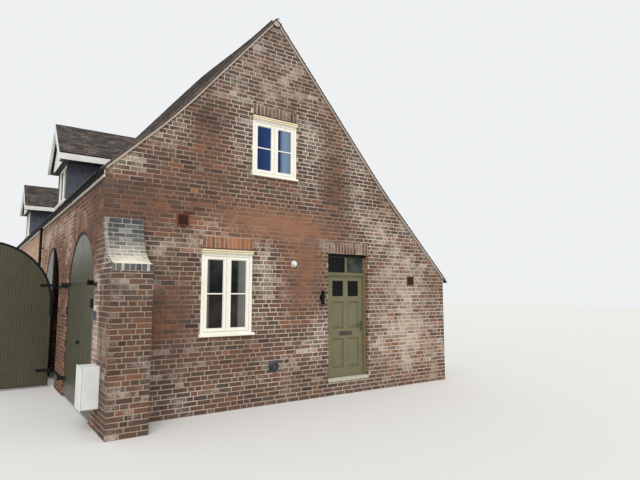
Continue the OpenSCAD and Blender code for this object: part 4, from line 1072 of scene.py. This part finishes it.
def lay_tile(array, rng, foot, along, up, squeeze, verge=False):
    """Copy of the modelled tile: its foot lifted on the course below, a little askew"""
    marks = [base + rng.gauss(0, spread) for base, spread in ((0.5, 0.19), (0.35, 0.3), (-0.15, 0.12))]
    if verge:
        marks = [mark + shift for mark, shift in zip(marks, (0.25, 0.4, -0.1))]
    out = along.cross(up).normalized()
    if out.z < 0:
        out = -out
    lean = (TILE_T + rng.uniform(-0.001, 0.003)) / TILE_L
    yaw, slip = rng.gauss(0, 0.008), rng.gauss(0, 0.0015)
    rise = 0.016 + rng.uniform(-0.001, 0.0025)
    points = [foot + along * squeeze * (p[0] - yaw * p[1]) + up * (p[1] + yaw * p[0] + slip)
              + out * (p[2] + rise - lean * p[1]) for p in TILE[0]]
    # The third mark rises towards the tile's head: painted shade where the course above overhangs, added to
    # its soot
    array.add(points, TILE[1], [(marks[0], marks[1], marks[2] + 1.1 * p[1] / TILE_L) for p in TILE[0]])


# Tiles nearer the gable than this are bleached and grown with lichen
PALE_VERGE = 0.35


def over_dormer(x, y):
    return any(abs(y - m) < DORMER_W / 2 - 0.01 for m in DORMER_MIDS) and x < LEFT_KICK_X + 0.1


def lay_main_slope(left, seed):
    """Tiles from the eaves up to the ridge, course by course"""
    rng, array = random.Random(seed), Array()
    x, way = (-EAVES_OUT, 1) if left else (HOUSE_W + EAVES_OUT, -1)
    columns = int((HOUSE_LEN + VERGE_OUT) / TILE_W) + 1
    course = 0
    while way * (RIDGE_X - x) > 0.03:
        for i in range(-1, columns + 1):
            low = -VERGE_OUT + (i + course % 2 / 2) * TILE_W
            low, high = max(low, -VERGE_OUT), min(low + TILE_W, HOUSE_LEN)
            y = (low + high) / 2
            if high - low < 0.03 or (left and over_dormer(x, y)):
                continue
            foot = Vector((x, y, roof_z(x, y)))
            up = Vector((x + way * 0.06, y, roof_z(x + way * 0.06, y))) - foot
            along = Vector((0, 1, (roof_z(x, y + 0.05) - roof_z(x, y - 0.05)) / 0.1))
            squeeze = (high - low) / TILE_W
            lay_tile(array, rng, foot, along.normalized(), up.normalized(), squeeze, y < PALE_VERGE)
        pitch = math.atan2(roof_z(x + 0.02 * way, 8) - roof_z(x, 8), 0.02)
        x += way * TILE_GAUGE * math.cos(pitch)
        course += 1
    name = f"tiles_{'left' if left else 'right'}"
    hand_over(array.mesh(name, turned=left), name, "tile", tiling)


def lay_dormer_tiles():
    rng = random.Random(53)
    for side, name in ((-1, "dormer_tiles_near"), (1, "dormer_tiles_far")):
        array = Array()
        up = Vector((0, -side, DORMER_FALL)).normalized()
        for mid in DORMER_MIDS:
            offset = DORMER_ROOF_W / 2 + 0.01
            course = 0
            while offset > 0.04:
                z = DORMER_RIDGE_Z - offset * DORMER_FALL
                end = slope_x(z, mid + side * offset, True) + 0.1
                for i in range(int((end + DORMER_OUT) / TILE_W) + 2):
                    x, squeeze = -DORMER_OUT - 0.015 + (i + (1 - course % 2) / 2) * TILE_W, 1.0
                    if i == 0 and course % 2:
                        x, squeeze = x + TILE_W / 4, 0.5
                    if x > end:
                        break
                    lay_tile(array, rng, Vector((x, mid + side * offset, z)), Vector((1, 0, 0)), up, squeeze)
                offset -= TILE_GAUGE / math.hypot(1, DORMER_FALL)
                course += 1
        hand_over(array.mesh(name, turned=side > 0), name, "tile", tiling)


lay_main_slope(True, 51)
lay_main_slope(False, 52)
lay_dormer_tiles()


# Windows

WINDOW_FACE, FRAME_W, FRAME_D, SASH_W, POST_W, SHADOW = 0.012, 0.055, 0.09, 0.06, 0.026, 0.005
LIGHT_W = (WIN_W - 2 * FRAME_W - POST_W) / 2
SILL_OUT, SILL_EAR, SILL_H, DRIP_OUT = 0.05, 0.035, 0.045, 0.035


def sash(x0, z0, x1, z1, face, depth, inset, bead, ease):
    """Mitred sash and the glazing bead inside it"""
    return [mitred(x0, z0, x1, z1, face + 0.004, face + depth, inset + 0.002, ease),
            mitred(x0 + inset, z0 + inset, x1 - inset,
                   z1 - inset, face + 0.012, face + 0.024, bead, ease + 0.003)]


def casement(x, z, h, ear):
    """Frame, middle post, two casements, glazing bars, head moulding and sill"""
    face, back, end = WINDOW_FACE, WINDOW_FACE + FRAME_D, x + WIN_W
    low, high, mid, inset = z + FRAME_W, z + h - FRAME_W, z + h / 2, SASH_W - 0.013
    post = x + FRAME_W + LIGHT_W
    parts = [mitred(x, z, end, z + h, face, back, FRAME_W, 0.003),
             bar((post, face, low), (post + POST_W, back, high), 0.003)]
    for left in (x + FRAME_W + SHADOW, post + POST_W + SHADOW):
        right = left + LIGHT_W - 2 * SHADOW
        parts += sash(left, low + SHADOW, right, high - SHADOW, face, 0.054, inset, 0.013, 0.005)
        parts.append(bar((left + inset, face + 0.009, mid - 0.011),
                         (right - inset, face + 0.024, mid + 0.011), 0.005, 2))
    top = z + FRAME_W / 2
    return parts + [
        bar((x, 0.002, z + h), (end, back, z + h + DRIP_H), 0.003),
        bar((x + 0.004, -0.014, z + h - 0.014), (end - 0.004, face, z + h), 0.005, 2),
        weathered(bar((x - ear, -SILL_OUT, top - SILL_H), (end + ear, 0.002, top), 0.004, 2), 0.007),
        bar((x, 0, z - 0.02), (end, back / 2, top + 0.003), 0.002)]


def stand_windows():
    """Casements under drip boards in two steps, with mortar between the steps and over them, darkened as
    painted shade
    """
    drips, fillets = [], []
    for name, (x, z, h), ear in (("low_window", LOW_WIN, SILL_EAR), ("high_window", HIGH_WIN, 0.01)):
        hand_over(casement(x, FLOOR_Z + z, h, ear), f"{name}_casements", "cream_paint", cream, name)
        top = FLOOR_Z + z + h + DRIP_H
        step = top - 0.6 * DRIP_H

        def strip(past, back, low, high, *edge):
            return bar((x - past, back - DRIP_OUT, low), (x + WIN_W + past, 0.002, high), *edge)

        drips += [strip(0.006, 0, step + 0.007, top, 0.003, 2),
                  strip(0.004, 0.006, top - DRIP_H, step, 0.003, 2)]
        # Dark mortar in the split of the drip board and over its top: painted shade under the soldiers and
        # in the split
        fillets += [strip(0.002, 0.014, step - 0.001, step + 0.008, 0.001),
                    weathered(strip(0.008, -0.002, top - 0.001, top + 0.022, 0.002), 0.004)]
    hand_over(drips, "drip_boards", "cream_paint", buff)
    hand_over(fillets, "drip_fillets", "mortar", shade_bedding)


# Front door

DOOR_SET, DOOR_JAMB, DOOR_GAP, DOOR_T, LEAF_H = 0.08, 0.058, 0.007, 0.044, 2.0
LEAF_X, LEAF_END, LEAF_Z = DOOR_X + 0.065, DOOR_X + DOOR_W - 0.065, FLOOR_Z + DOOR_GAP
LEAF_Y = DOOR_SET + 0.07 - DOOR_T
STILE, MUNTIN, PANEL_W = 0.112, 0.11, 0.283
# Openings between the rails, from the foot up: two rows of panels, one of lights
PANEL_ROWS, LIGHT_ROW = ((0.175, 0.75), (0.95, 1.485)), (1.59, 1.91)


def door_leaf():
    """Stiles, rails and raised panels with beads round them, and glazing beads"""
    front, back = LEAF_Y, LEAF_Y + DOOR_T

    def timber(x0, x1, low, high):
        return bar((x0, front, LEAF_Z + low), (x1, back, LEAF_Z + high), 0.0015)

    rows = PANEL_ROWS + (LIGHT_ROW,)
    rails = zip([0] + [high for _, high in rows], [low for low, _ in rows] + [LEAF_H])
    near, far = LEAF_X + STILE, LEAF_X + STILE + PANEL_W + MUNTIN
    parts = [timber(LEAF_X, near, 0, LEAF_H), timber(LEAF_END - STILE, LEAF_END, 0, LEAF_H)]
    parts += [timber(near, LEAF_END - STILE, low, high) for low, high in rails]
    parts += [timber(near + PANEL_W, far, low, high) for low, high in rows]
    for x0 in (near, far):
        x1 = x0 + PANEL_W
        for low, high in PANEL_ROWS:
            z0, z1 = LEAF_Z + low, LEAF_Z + high
            panel = block((x0, front + 0.017, z0), (x1, back - 0.011, z1))
            for way in (-1, 1):
                drawn_in(panel, lambda f: f.normal.y * way > 0.9, (0.02, 0), (0.02, 0.009))
            parts += [panel, mitred(x0, z0, x1, z1, front + 0.001, front + 0.017, 0.016, 0.012)]
        low, high = LIGHT_ROW
        parts.append(mitred(x0, LEAF_Z + low, x1, LEAF_Z + high, front + 0.002, front + 0.014, 0.006, 0.003))
    return parts


def door_mouldings():
    """Beads round the two panes over the door, stops on the jambs and a drip over the leaf"""
    x0, x1, post = DOOR_X + DOOR_JAMB, DOOR_X + DOOR_W - DOOR_JAMB, 0.034
    low, high, y = FLOOR_Z + 2.076, FLOOR_Z + DOOR_H - DOOR_JAMB, DOOR_SET
    pane = (x1 - x0 - post) / 2
    parts = [mitred(x, low, x + pane, high, y + 0.006, y + 0.024, 0.007, 0.004)
             for x in (x0, x0 + pane + post)]
    parts += [bar((x, y - 0.004, FLOOR_Z), (x + 0.012, y + 0.004, low - 0.062), 0.003)
              for x in (x0, x1 - 0.012)]
    drip = bar((x0 - 0.02, y - 0.022, low - 0.05), (x1 + 0.02, y + 0.004, low - 0.022), 0.003)
    return parts + [weathered(drip, 0.008)]


# Black steel angle under the soldier course, its face made 60 mm deep so that it also stands in as painted
# shadow under the brick soffit over the door frame
def door_shadow_lintel():
    x0, x1, top = DOOR_X, DOOR_X + DOOR_W, FLOOR_Z + DOOR_H
    return [bar((x0, 0.004, top - 0.008), (x1, DOOR_SET, top), 0.001),
            bar((x0, DOOR_SET - 0.012, top - 0.06), (x1, DOOR_SET - 0.002, top), 0.001)]


def letter_flap():
    x, y, z = (LEAF_X + LEAF_END) / 2, LEAF_Y, LEAF_Z + 0.85
    parts = [bar((x - 0.155, y - 0.007, z - 0.04), (x + 0.155, y - 0.002, z + 0.04), 0.002, 2),
             bar((x - 0.128, y - 0.011, z - 0.024), (x + 0.128, y - 0.006, z + 0.022), 0.0015),
             drum((x, y - 0.0095, z + 0.024), 0.0025, 0.25, "X", 12)]
    for side in (-1, 1):
        stud = drum((x + side * 0.144, y - 0.0085, z), 0.005, 0.003, "Y", 12)
        parts.append(soften(stud, 0.001, 1, lambda c: c.y < y - 0.0095))
    return parts


def hang_door():
    hand_over(door_leaf(), "door_leaf", "olive_paint", olive, "front_door", body="front_door_leaf")
    hand_over(door_mouldings(), "door_frame_mouldings", "olive_paint", olive)
    hand_over(door_shadow_lintel(), "door_shadow_lintel", "iron", iron)
    hand_over(letter_flap(), "letter_flap", "iron", bronze, body="front_door_leaf")


# Gates, modelled once as the near leaf of an arch whose middle is at y = 0

BOARD_R, BOARD_COUNT, BLANK_TOP = ARCH_R - LEAF_GAP - RIM_W, 20, 3.2
MEET_Y = -(MEET_GAP / 2 + RIM_W)
BOARD_W = (MEET_Y + BOARD_R) / BOARD_COUNT
LEAF_LOW = LEAF_FOOT + RIM_W


def leaf_top(y):
    """Height of the boards at a distance from the middle of the arch"""
    return SPRING_Z + math.sqrt(max(0.0, BOARD_R ** 2 - y ** 2))


def gate_boards():
    """Chamfered boards, their heads cut to the arch, and the strip where the leaves meet"""
    boards = []
    for k in range(BOARD_COUNT):
        y0, y1 = -BOARD_R + k * BOARD_W + 0.0005, -BOARD_R + (k + 1) * BOARD_W - 0.0005
        board = block((LEAF_SET, y0, LEAF_LOW), (LEAF_SET + LEAF_T, y1, BLANK_TOP))
        for share in (0.33, 0.67):
            split(board, y0 + share * (y1 - y0))
        for v in board.data.vertices:
            if v.co.z > SPRING_Z:
                v.co.z = leaf_top(v.co.y)
        middle_y, reach = (y0 + y1) / 2, (y1 - y0) / 2 - 0.0001
        boards.append(soften(board, 0.003, 1,
                             lambda c: abs(c.y - middle_y) > reach and c.x < LEAF_SET + 0.001))
    strip = bar((LEAF_SET - 0.001, MEET_Y, LEAF_LOW),
                (LEAF_SET + 0.02, -MEET_GAP / 2 + 0.001, leaf_top(0) + 0.008), 0.002)
    return joined(boards + [strip])


def gate_bolts():
    """Domed bolt heads along both rails"""
    return joined([drum((LEAF_SET - 0.002, -BOARD_R + (k + 0.5) * BOARD_W, z), 0.009, 0.004, "X", 12, 0.006)
                   for k in range(5, BOARD_COUNT, 2) for z in (FLOOR_Z + 1.83, FLOOR_Z + 0.04)])


def gate_rim():
    """Flat black strip round the outer edge"""
    inner, outer, foot = BOARD_R - 0.03, BOARD_R + RIM_W - 0.001, 1.5
    section = plate((LEAF_SET - 0.001, -(inner + outer) / 2, SPRING_Z), 0.004, outer - inner)
    arc = spun(section, 20, math.pi / 2 * 0.99, (0, 0, SPRING_Z), (1, 0, 0))
    return joined([arc, bar((LEAF_SET - 0.003, -outer, foot), (LEAF_SET + 0.001, -inner, SPRING_Z), 0.0005)])


def hang_gates():
    """Both leaves in both arches, the near one of the second arch standing open"""
    mirror = Matrix.Scale(-1, 4, (0, 1, 0))
    first, second = [shift_of(0, mid, 0) for mid in ARCH_MIDS]
    pin = shift_of(-PIN_OUT, ARCH_MIDS[1] - ARCH_R, 0)
    opened = pin @ Matrix.Rotation(math.pi / 2, 4, "Z") @ pin.inverted()
    places = {"one_near": first, "one_far": first @ mirror,
              "two_far": second @ mirror, "two_near": opened @ second}
    models = (gate_boards(), gate_bolts(), gate_rim())
    for name, place in places.items():
        boards, bolts, rim = [copied(model, place) for model in models]
        body = f"gate_{name}_leaf"
        hand_over(boards, f"boards_{name}", "gate_paint", gate_olive, f"gate_{name}", body=body)
        hand_over(bolts, f"bolts_{name}", "iron", iron, body=body)
        hand_over(rim, f"rim_{name}", "iron", iron, body=body)
    for model in models:
        bpy.data.objects.remove(model)


stand_windows()
hang_door()
hang_gates()


# Ridges, rainwater goods and dormers

def half_round(radius, thick, length, under=False):
    """Half-round section spun over the Y axis, or under it"""
    section = plate((radius - thick / 2, length / 2, 0), thick, length)
    return spun(section, 12, math.pi, (0, 0, 0), (0, 1 if under else -1, 0))


RIDGE_TILES, DORMER_RIDGE_TILES, BED_BACK = 35, 4, 0.07


def lay_ridges():
    """Half-round ridge tiles on mortar beds, the joints between them pointed"""
    rng = random.Random(61)
    tiles, beds = Array(), Array()

    def run(radius, start, end, pitch, place):
        tile = pattern(half_round(radius, 0.016, pitch - 0.012))
        joint = pattern(half_round(radius - 0.004, 0.02, 0.03))
        bed = pattern(bar((-radius * 0.84, 0, -radius * 1.05), (radius * 0.84, pitch, 0.006), 0.01))
        plug = pattern(half_round(radius - 0.015, radius - 0.0155, 0.03))

        def fill(shape, at, back=0.0):
            """Mortar at a place along the ridge, kept behind a small set-back"""
            beds.add([place(x, at + max(y, back), z) for x, y, z in shape[0]], shape[1])

        for k in range(max(1, round((end - start) / pitch))):
            at = start + k * pitch
            marks = [b + rng.gauss(0, 0.12) for b in (0.35, 0.3, 0.25)]
            tip, turn = rng.uniform(-0.002, 0.002), rng.gauss(0, 0.004)
            tiles.add([place(x + turn * y, at + y, z * 0.985 + tip) for x, y, z in tile[0]], tile[1], marks)
            fill(bed, at, 0.0 if k else BED_BACK)
            if k:
                fill(joint, at - 0.02)
        fill(plug, start + 0.006)

    run(RIDGE_R, -VERGE_OUT, HOUSE_LEN, (HOUSE_LEN + VERGE_OUT) / RIDGE_TILES,
        lambda x, y, z: (RIDGE_X + x, y, RIDGE_Z + lift(y) - 0.55 * RIDGE_R + z))
    ridge_z = DORMER_RIDGE_Z - 0.04
    for mid in DORMER_MIDS:
        end = slope_x(ridge_z, mid, True) + 0.1
        run(DORMER_TILE_R, -DORMER_OUT, end,
            (end + DORMER_OUT) / DORMER_RIDGE_TILES, lambda x, y, z: (y, mid - x, ridge_z + z))
    hand_over(tiles.mesh("ridge_half_rounds"), "ridge_half_rounds", "tile", tiling, "ridge_tiles")
    hand_over(beds.mesh("ridge_beds"), "ridge_beds", "mortar", bedding)


GUTTER_R, GUTTER_T, GUTTER_DROP, PIPE_R, SHOE_Z, FASCIA_T = 0.058, 0.003, 0.034, 0.034, 0.15, 0.022
UNIONS, UNION_PITCH, BRACKETS, BRACKET_PITCH = 4, 2.95, 17, 0.9


def collar(x, z, radius, height):
    """Socket round the pipe with a rolled rim at its head"""
    ring = soften(drum((x, PIPE_Y, z), radius, height),
                  0.003, 2, lambda c: abs(c.z - z) > height / 2 - 0.0001)
    return [ring, soften(drum((x, PIPE_Y, z + height / 2), radius + 0.004, 0.01), 0.004, 2)]


def gutter_and_pipe(wall, side):
    """Half-round gutter with its stop ends, unions and brackets, and the pipe with its sockets and shoe"""
    x = wall + side * (FASCIA_T + GUTTER_R - 0.002)
    rim = roof_z(wall + side * EAVES_OUT, 0) - TILE_EDGE - GUTTER_DROP

    def length(radius, thick, start, end):
        piece = half_round(radius, thick, end - start, True)
        piece.data.transform(shift_of(x, start, rim))
        return piece

    parts = [length(GUTTER_R, GUTTER_T, -0.02, HOUSE_LEN)]
    parts += [length(GUTTER_R + 0.003, GUTTER_R + 0.0025, y, y + 0.008) for y in (-0.02, HOUSE_LEN - 0.008)]
    union = length(GUTTER_R + 0.006, 0.006, 2.9, 3.02)
    edge = x - side * GUTTER_R
    bracket = joined([length(GUTTER_R + 0.005, 0.004, 0.35, 0.375),
                      bar((edge - 0.004, 0.35, rim - 0.008), (edge + 0.004, 0.375, rim + 0.03), 0.001)])
    parts += copies(union, [shift_of(0, k * UNION_PITCH, 0) for k in range(UNIONS)])
    parts += copies(bracket, [shift_of(0, k * BRACKET_PITCH, 0) for k in range(BRACKETS)])
    top = rim - GUTTER_R + 0.006
    clear = top - 0.2
    parts.append(drum((x, PIPE_Y, (SHOE_Z + top) / 2), PIPE_R, top - SHOE_Z, "Z", 20))
    parts += collar(x, top - 0.05, PIPE_R + 0.008, 0.09)
    for z in (1.55, 2.9):
        if z < clear:
            parts += collar(x, z, PIPE_R + 0.005, 0.07)
    x0, x1 = sorted((wall, x + side * 0.04))
    for z in (0.75, min(1.95, clear), 3.2):
        if z <= clear:
            parts.append(bar((x0, PIPE_Y - 0.045, z - 0.014), (x1, PIPE_Y + 0.045, z + 0.014), 0.006, 2))
    shoe = soften(drum((x, PIPE_Y, SHOE_Z + 0.03), PIPE_R + 0.012, 0.09, "Z", 20, PIPE_R + 0.004), 0.003)
    return parts + [shifted(shoe, (side * 0.01, 0, 0), lambda c: c.z < SHOE_Z)]


def hang_rainwater():
    hand_over(gutter_and_pipe(0, -1), "gutter_left", "iron", iron, "rainwater_goods")
    hand_over(gutter_and_pipe(HOUSE_W, 1), "gutter_right", "iron", iron)


def fix_eaves_boards():
    """Fascias in two steps with a shadow line under them"""
    boards, shades = [], []
    for wall, side in ((0, -1), (HOUSE_W, 1)):
        low = roof_z(wall, 0) - TILE_EDGE - FASCIA_H
        top = roof_z(wall + side * FASCIA_T, 0) - TILE_EDGE
        for group, out, z0, z1, *edge in ((boards, FASCIA_T, low + 0.072, top, 0.004, 2),
                                          (boards, 0.016, low + 0.03, low + 0.068, 0.005, 2),
                                          (shades, 0.005, low + 0.012, low + 0.074, 0.001)):
            x0, x1 = sorted((wall, wall + side * out))
            group.append(bar((x0, 0, z0), (x1, HOUSE_LEN, z1), *edge))
    hand_over(boards, "fascias", "cream_paint", cream, "eaves_boards")
    # The near-black strip under each fascia is painted shadow
    hand_over(shades, "fascia_shadow_strips", "slate", shaded_wood)


DORMER_FACE, DORMER_CLEAR, DORMER_BAR, DORMER_SASH, DORMER_DEEP = 0.02, 1.06, 0.042, 0.045, 0.07
BARGE_H, BARGE_T, DORMER_FASCIA = 0.185, 0.022, 0.135
TYMPANUM_X = -0.1


def dormer_front():
    """Window of one dormer, in the gable's plane and centred on x = 0"""
    half, low, high = DORMER_CLEAR / 2, DORMER_SILL_Z, DORMER_SILL_Z + DORMER_WIN_H
    face, post, gap, wide = DORMER_FACE, POST_W / 2, 0.003, DORMER_W / 2
    foot, head = low + DORMER_BAR, high - DORMER_BAR
    parts = [mitred(-half, low, half, high, face, face + DORMER_DEEP, DORMER_BAR, 0.003),
             bar((-post, face, foot), (post, face + DORMER_DEEP, head), 0.003)]
    for side in (-1, 1):
        x0, x1 = sorted((side * (post + gap), side * (half - DORMER_BAR - gap)))
        parts += sash(x0, foot + gap, x1, head - gap, face, 0.05, DORMER_SASH - 0.014, 0.012, 0.004)
    sill = bar((-wide - 0.015, -0.05, low - 0.045), (wide + 0.015, face + 0.02, low), 0.004, 2)
    return joined(parts + [weathered(sill, 0.01),
                           bar((-wide, -0.03, low - 0.15), (wide, face + 0.02, low - 0.045), 0.003)])


def dormer_trim():
    """Barge boards with a lining behind them, fascias, the small gable between the barges, and the soffits,
    which are dark as painted shade
    """
    half, wide = DORMER_ROOF_W / 2, DORMER_ROOF_W / 2 - 0.05
    top, foot = DORMER_EAVES_Z, DORMER_EAVES_Z - BARGE_H
    fascia_top = top - 0.032
    front, end = -DORMER_OUT - BARGE_T, slope_x(fascia_top, DORMER_Y, True)

    def leaning(x0, x1, outer, low, high):
        """Board whose end at the ridge is raised"""
        board = bar((x0, outer, low), (x1, 0.004, high), 0.002)
        return shifted(board, (0, 0, DORMER_RISE), lambda c: c.y > -0.006)

    side = [leaning(front, -DORMER_OUT, -half, foot, top),
            leaning(-DORMER_OUT, -DORMER_OUT + 0.034, -half + 0.004, foot + 0.012, top - 0.09),
            bar((front, -half - 0.016, fascia_top - DORMER_FASCIA),
                (end, -half + 0.002, fascia_top), 0.004, 2)]
    parts = copies(joined(side), (Matrix.Identity(4), Matrix.Scale(-1, 4, (0, 1, 0))))
    panel = split(block((TYMPANUM_X, -wide, foot + 0.02), (TYMPANUM_X + 0.015, wide, foot + 0.05)), 0)
    rise = (0, 0, DORMER_RISE * wide / half)
    parts.append(shifted(panel, rise, lambda c: abs(c.y) < 0.001 and c.z > foot + 0.04))
    # Soffits over the window and under the side eaves, near-black as painted shade
    soffits = [bar((TYMPANUM_X, -half + 0.004, foot + 0.012),
                   (DORMER_FACE, half - 0.004, foot + 0.022), 0.002)]
    for way in (-1, 1):
        y0, y1 = sorted((way * (DORMER_W / 2 - 0.002), way * (half - 0.002)))
        soffits.append(bar((-DORMER_OUT + 0.03, y0, foot + 0.024), (end, y1, foot + 0.034), 0.002))
    return joined(parts), joined(soffits)


def cheek_welts():
    """Upright welts on both cheeks of a dormer"""
    return joined([bar((x, y - 0.005, roof_z(x, 0) - 0.05),
                       (x + 0.012, y + 0.005, DORMER_EAVES_Z - 0.1), 0.003)
                   for y in (-DORMER_W / 2, DORMER_W / 2) for x in (0.004, 0.3, 0.6)])


def build_dormers():
    places = [shift_of(0, mid, 0) for mid in DORMER_MIDS]
    front = dormer_front()
    front.data.transform(Matrix.Rotation(-math.pi / 2, 4, "Z"))
    models = (front, *dormer_trim(), cheek_welts())
    fronts, trims, soffits, welts = [copies(model, places) for model in models]
    hand_over(fronts, "dormer_casements", "cream_paint", cream, "dormer_windows")
    hand_over(trims, "dormer_trim", "white_paint", barge_white, "dormer_boards")
    hand_over(soffits, "dormer_soffits", "slate", shaded_wood)
    hand_over(welts, "cheek_welts", "slate", slates)


# Fittings

def fit_meter_box():
    """Moulded box with a door in a lipped frame, two hinges and a lock"""
    low, high, lid = FLOOR_Z + 0.03, FLOOR_Z + 0.62, -0.236
    body = bar((lid, -0.262, low), (0, 0.112, high), 0.012, 3)
    door = bar((-0.25, -0.27, low - 0.008), (lid, 0.12, high + 0.008), 0.005, 2)
    drawn_in(door, lambda f: f.normal.x < -0.9 and f.calc_area() > 0.1,
             (0.022, 0), (0.004, -0.003), (0.02, 0), (0.004, 0.003))
    hinges = [soften(drum((-0.243, -0.267, z), 0.0055, 0.06, "Z", 12), 0.001)
              for z in (low + 0.1, high - 0.1)]
    lock = drum((-0.251, 0.075, (low + high) / 2), 0.014, 0.006, "X", 20)
    drawn_in(lock, lambda f: f.normal.x < -0.9, (0.006, 0), (0.001, -0.003))
    hand_over([body, door, *hinges, lock], "meter_box_and_door", "box_white", white_plastic, "meter_box")


def fit_lamp():
    """Up-and-down lamp on its plate"""
    x, y, low, high = DOOR_X - 0.176, -0.075, FLOOR_Z + 1.45, FLOOR_Z + 1.71
    mid = (low + high) / 2
    tube = drum((x, y, mid), 0.036, high - low, "Z", 28)
    drawn_in(tube, lambda f: abs(f.normal.z) > 0.9, (0.004, 0), (0.002, -0.012), (0.012, 0), (0.002, 0.004))
    rims = [soften(drum((x, y, z), 0.038, 0.014, "Z", 28), 0.003, 2) for z in (low + 0.009, high - 0.009)]
    plate_and_arm = [bar((x - 0.025, -0.014, mid - 0.05), (x + 0.025, 0, mid + 0.05), 0.004, 2),
                     bar((x - 0.013, -0.05, mid - 0.02), (x + 0.013, -0.01, mid + 0.02), 0.003)]
    screws = [soften(drum((x, -0.015, mid + s * 0.038), 0.004, 0.003, "Y", 12), 0.001) for s in (-1, 1)]
    hand_over([tube, *plate_and_arm, *rims, *screws], "door_lamp", "iron", iron, "wall_lamp")


def fit_flue():
    """Round flue terminal near the ground, with fins in its mouth"""
    x, z = 2.975, FLOOR_Z + 0.345
    flange = soften(drum((x, -0.007, z), 0.1, 0.014, "Y", 36), 0.004, 2)
    stub = drum((x, -0.035, z), 0.078, 0.07, "Y", 32)
    drawn_in(stub, lambda f: f.normal.y < -0.9, (0.006, 0), (0.003, -0.03), (0.02, 0), (0.003, 0.022))
    fins = [bar((x - 0.058, -0.066, z + k * 0.018 - 0.002), (x + 0.058, -0.04, z + k * 0.018 + 0.002), 0.001)
            for k in (-1, 0, 1)]
    hand_over([flange, stub, *fins], "flue_terminal", "iron", flue_grey)


def fit_air_bricks():
    """Clay vents: a frame round sloping blades, with a plate behind them; blades and plate are darkened as
    painted shade of the holes
    """
    frames, blades = [], []
    for x, z in ((1.234, FLOOR_Z + 2.868), (HOUSE_W - 1.077, FLOOR_Z + 1.934)):
        frames.append(mitred(x - 0.1, z - 0.1, x + 0.1, z + 0.1, -0.022, 0, 0.018, 0.004))
        blades.append(bar((x - 0.085, -0.009, z - 0.085), (x + 0.085, -0.003, z + 0.085), 0.001))
        for k in range(6):
            foot = z - 0.078 + k * 0.027
            blade = bar((x - 0.084, -0.019, foot), (x + 0.084, -0.006, foot + 0.008), 0.002)
            blades.append(shifted(blade, (0, 0, -0.007), lambda c: c.y < -0.014))
    hand_over(frames, "vent_frames", "terracotta", terracotta, "air_bricks")
    hand_over(blades, "vent_blades", "terracotta", shade_clay)


def fit_dome():
    """Dome on the gable by the door"""
    x, z = 3.408, FLOOR_Z + 2.211
    dome = soften(drum((x, -0.034, z), 0.052, 0.052, "Y", 28, 0.036), 0.012, 3, lambda c: c.y < -0.055)
    ring = soften(drum((x, -0.006, z), 0.062, 0.012, "Y", 32), 0.004, 2)
    hand_over([dome, ring], "bell_dome", "box_white", white_plastic, "wall_fittings")


def fit_key_pad():
    """Key pad by the gates, its keys under a hood"""
    low, high = FLOOR_Z + 1.25, FLOOR_Z + 1.39
    case = bar((-0.05, 0.19, low), (0, 0.29, high), 0.008, 3)
    drawn_in(case, lambda f: f.normal.x < -0.9 and f.calc_area() > 0.005, (0.008, 0), (0.001, -0.002))
    keys = []
    for i in range(3):
        for j in range(4):
            y, z = 0.207 + i * 0.025, low + 0.02 + j * 0.027
            keys.append(bar((-0.053, y, z), (-0.046, y + 0.016, z + 0.016), 0.002))
    hood = bar((-0.06, 0.188, high - 0.008), (0, 0.292, high), 0.003)
    hand_over([case, hood, *keys], "key_pad", "iron", grey_plastic)


lay_ridges()
hang_rainwater()
fix_eaves_boards()
build_dormers()
fit_meter_box()
fit_lamp()
fit_flue()
fit_air_bricks()
fit_dome()
fit_key_pad()


# Stage, light and camera

def build_stage():
    floor = plate((0, 0, 0), 160, 160)
    floor.name = "floor"
    made = Finish("pale floor", 0.9, 0.2)
    made.feed("Base Color", "#d9d8d5")
    floor.data.materials.append(made.material)


def build_light():
    """Soft white light all round, which the camera, glossy faces and glass see as a pale sky"""
    world = bpy.data.worlds.new("soft studio")
    bpy.context.scene.world = world
    world.use_nodes = True
    tree = world.node_tree
    glow = tree.nodes["Background"]
    glow.inputs["Color"].default_value = (1, 1, 1, 1)
    glow.inputs["Strength"].default_value = 0.84
    sky = add_node(tree, "Background", {"Color": "#eef0f2", "Strength": 1.0})
    rays = add_node(tree, "LightPath").outputs
    seen = 0.0
    for kind in ("Camera", "Glossy", "Transmission"):
        seen = add_node(tree, "Math", {0: seen, 1: rays[f"Is {kind} Ray"]}, operation="MAXIMUM").outputs[0]
    mixer = add_node(tree, "MixShader", {"Fac": seen, 1: glow.outputs[0], 2: sky.outputs[0]})
    tree.links.new(mixer.outputs[0], tree.nodes["World Output"].inputs["Surface"])
    bpy.ops.object.light_add(type="SUN", location=(-8, -12, 18))
    sun = bpy.context.object
    sun.name = "soft sun"
    sun.data.energy = 1.8
    sun.data.angle = math.radians(35)
    sun.rotation_euler = (math.radians(48), 0, math.radians(-28))


STANDPOINT, HEADING, PITCH = (-1.61, -8.0, 1.972), math.radians(54.9), math.radians(6.15)
FOCAL_SHARE = 498.2 / 640


def build_camera():
    """The photograph's standpoint: eye height on the lawn before the left corner"""
    level = math.cos(PITCH)
    view = Vector((level * math.cos(HEADING), level * math.sin(HEADING), math.sin(PITCH)))
    bpy.ops.object.camera_add(location=STANDPOINT)
    camera = bpy.context.object
    camera.name = "camera"
    camera.rotation_euler = view.to_track_quat("-Z", "Y").to_euler()
    camera.data.sensor_width = 36
    camera.data.lens = FOCAL_SHARE * 36
    camera.data.clip_end = 400
    bpy.context.scene.camera = camera


build_stage()
build_light()
build_camera()
bpy.context.scene.view_settings.view_transform = "Standard"
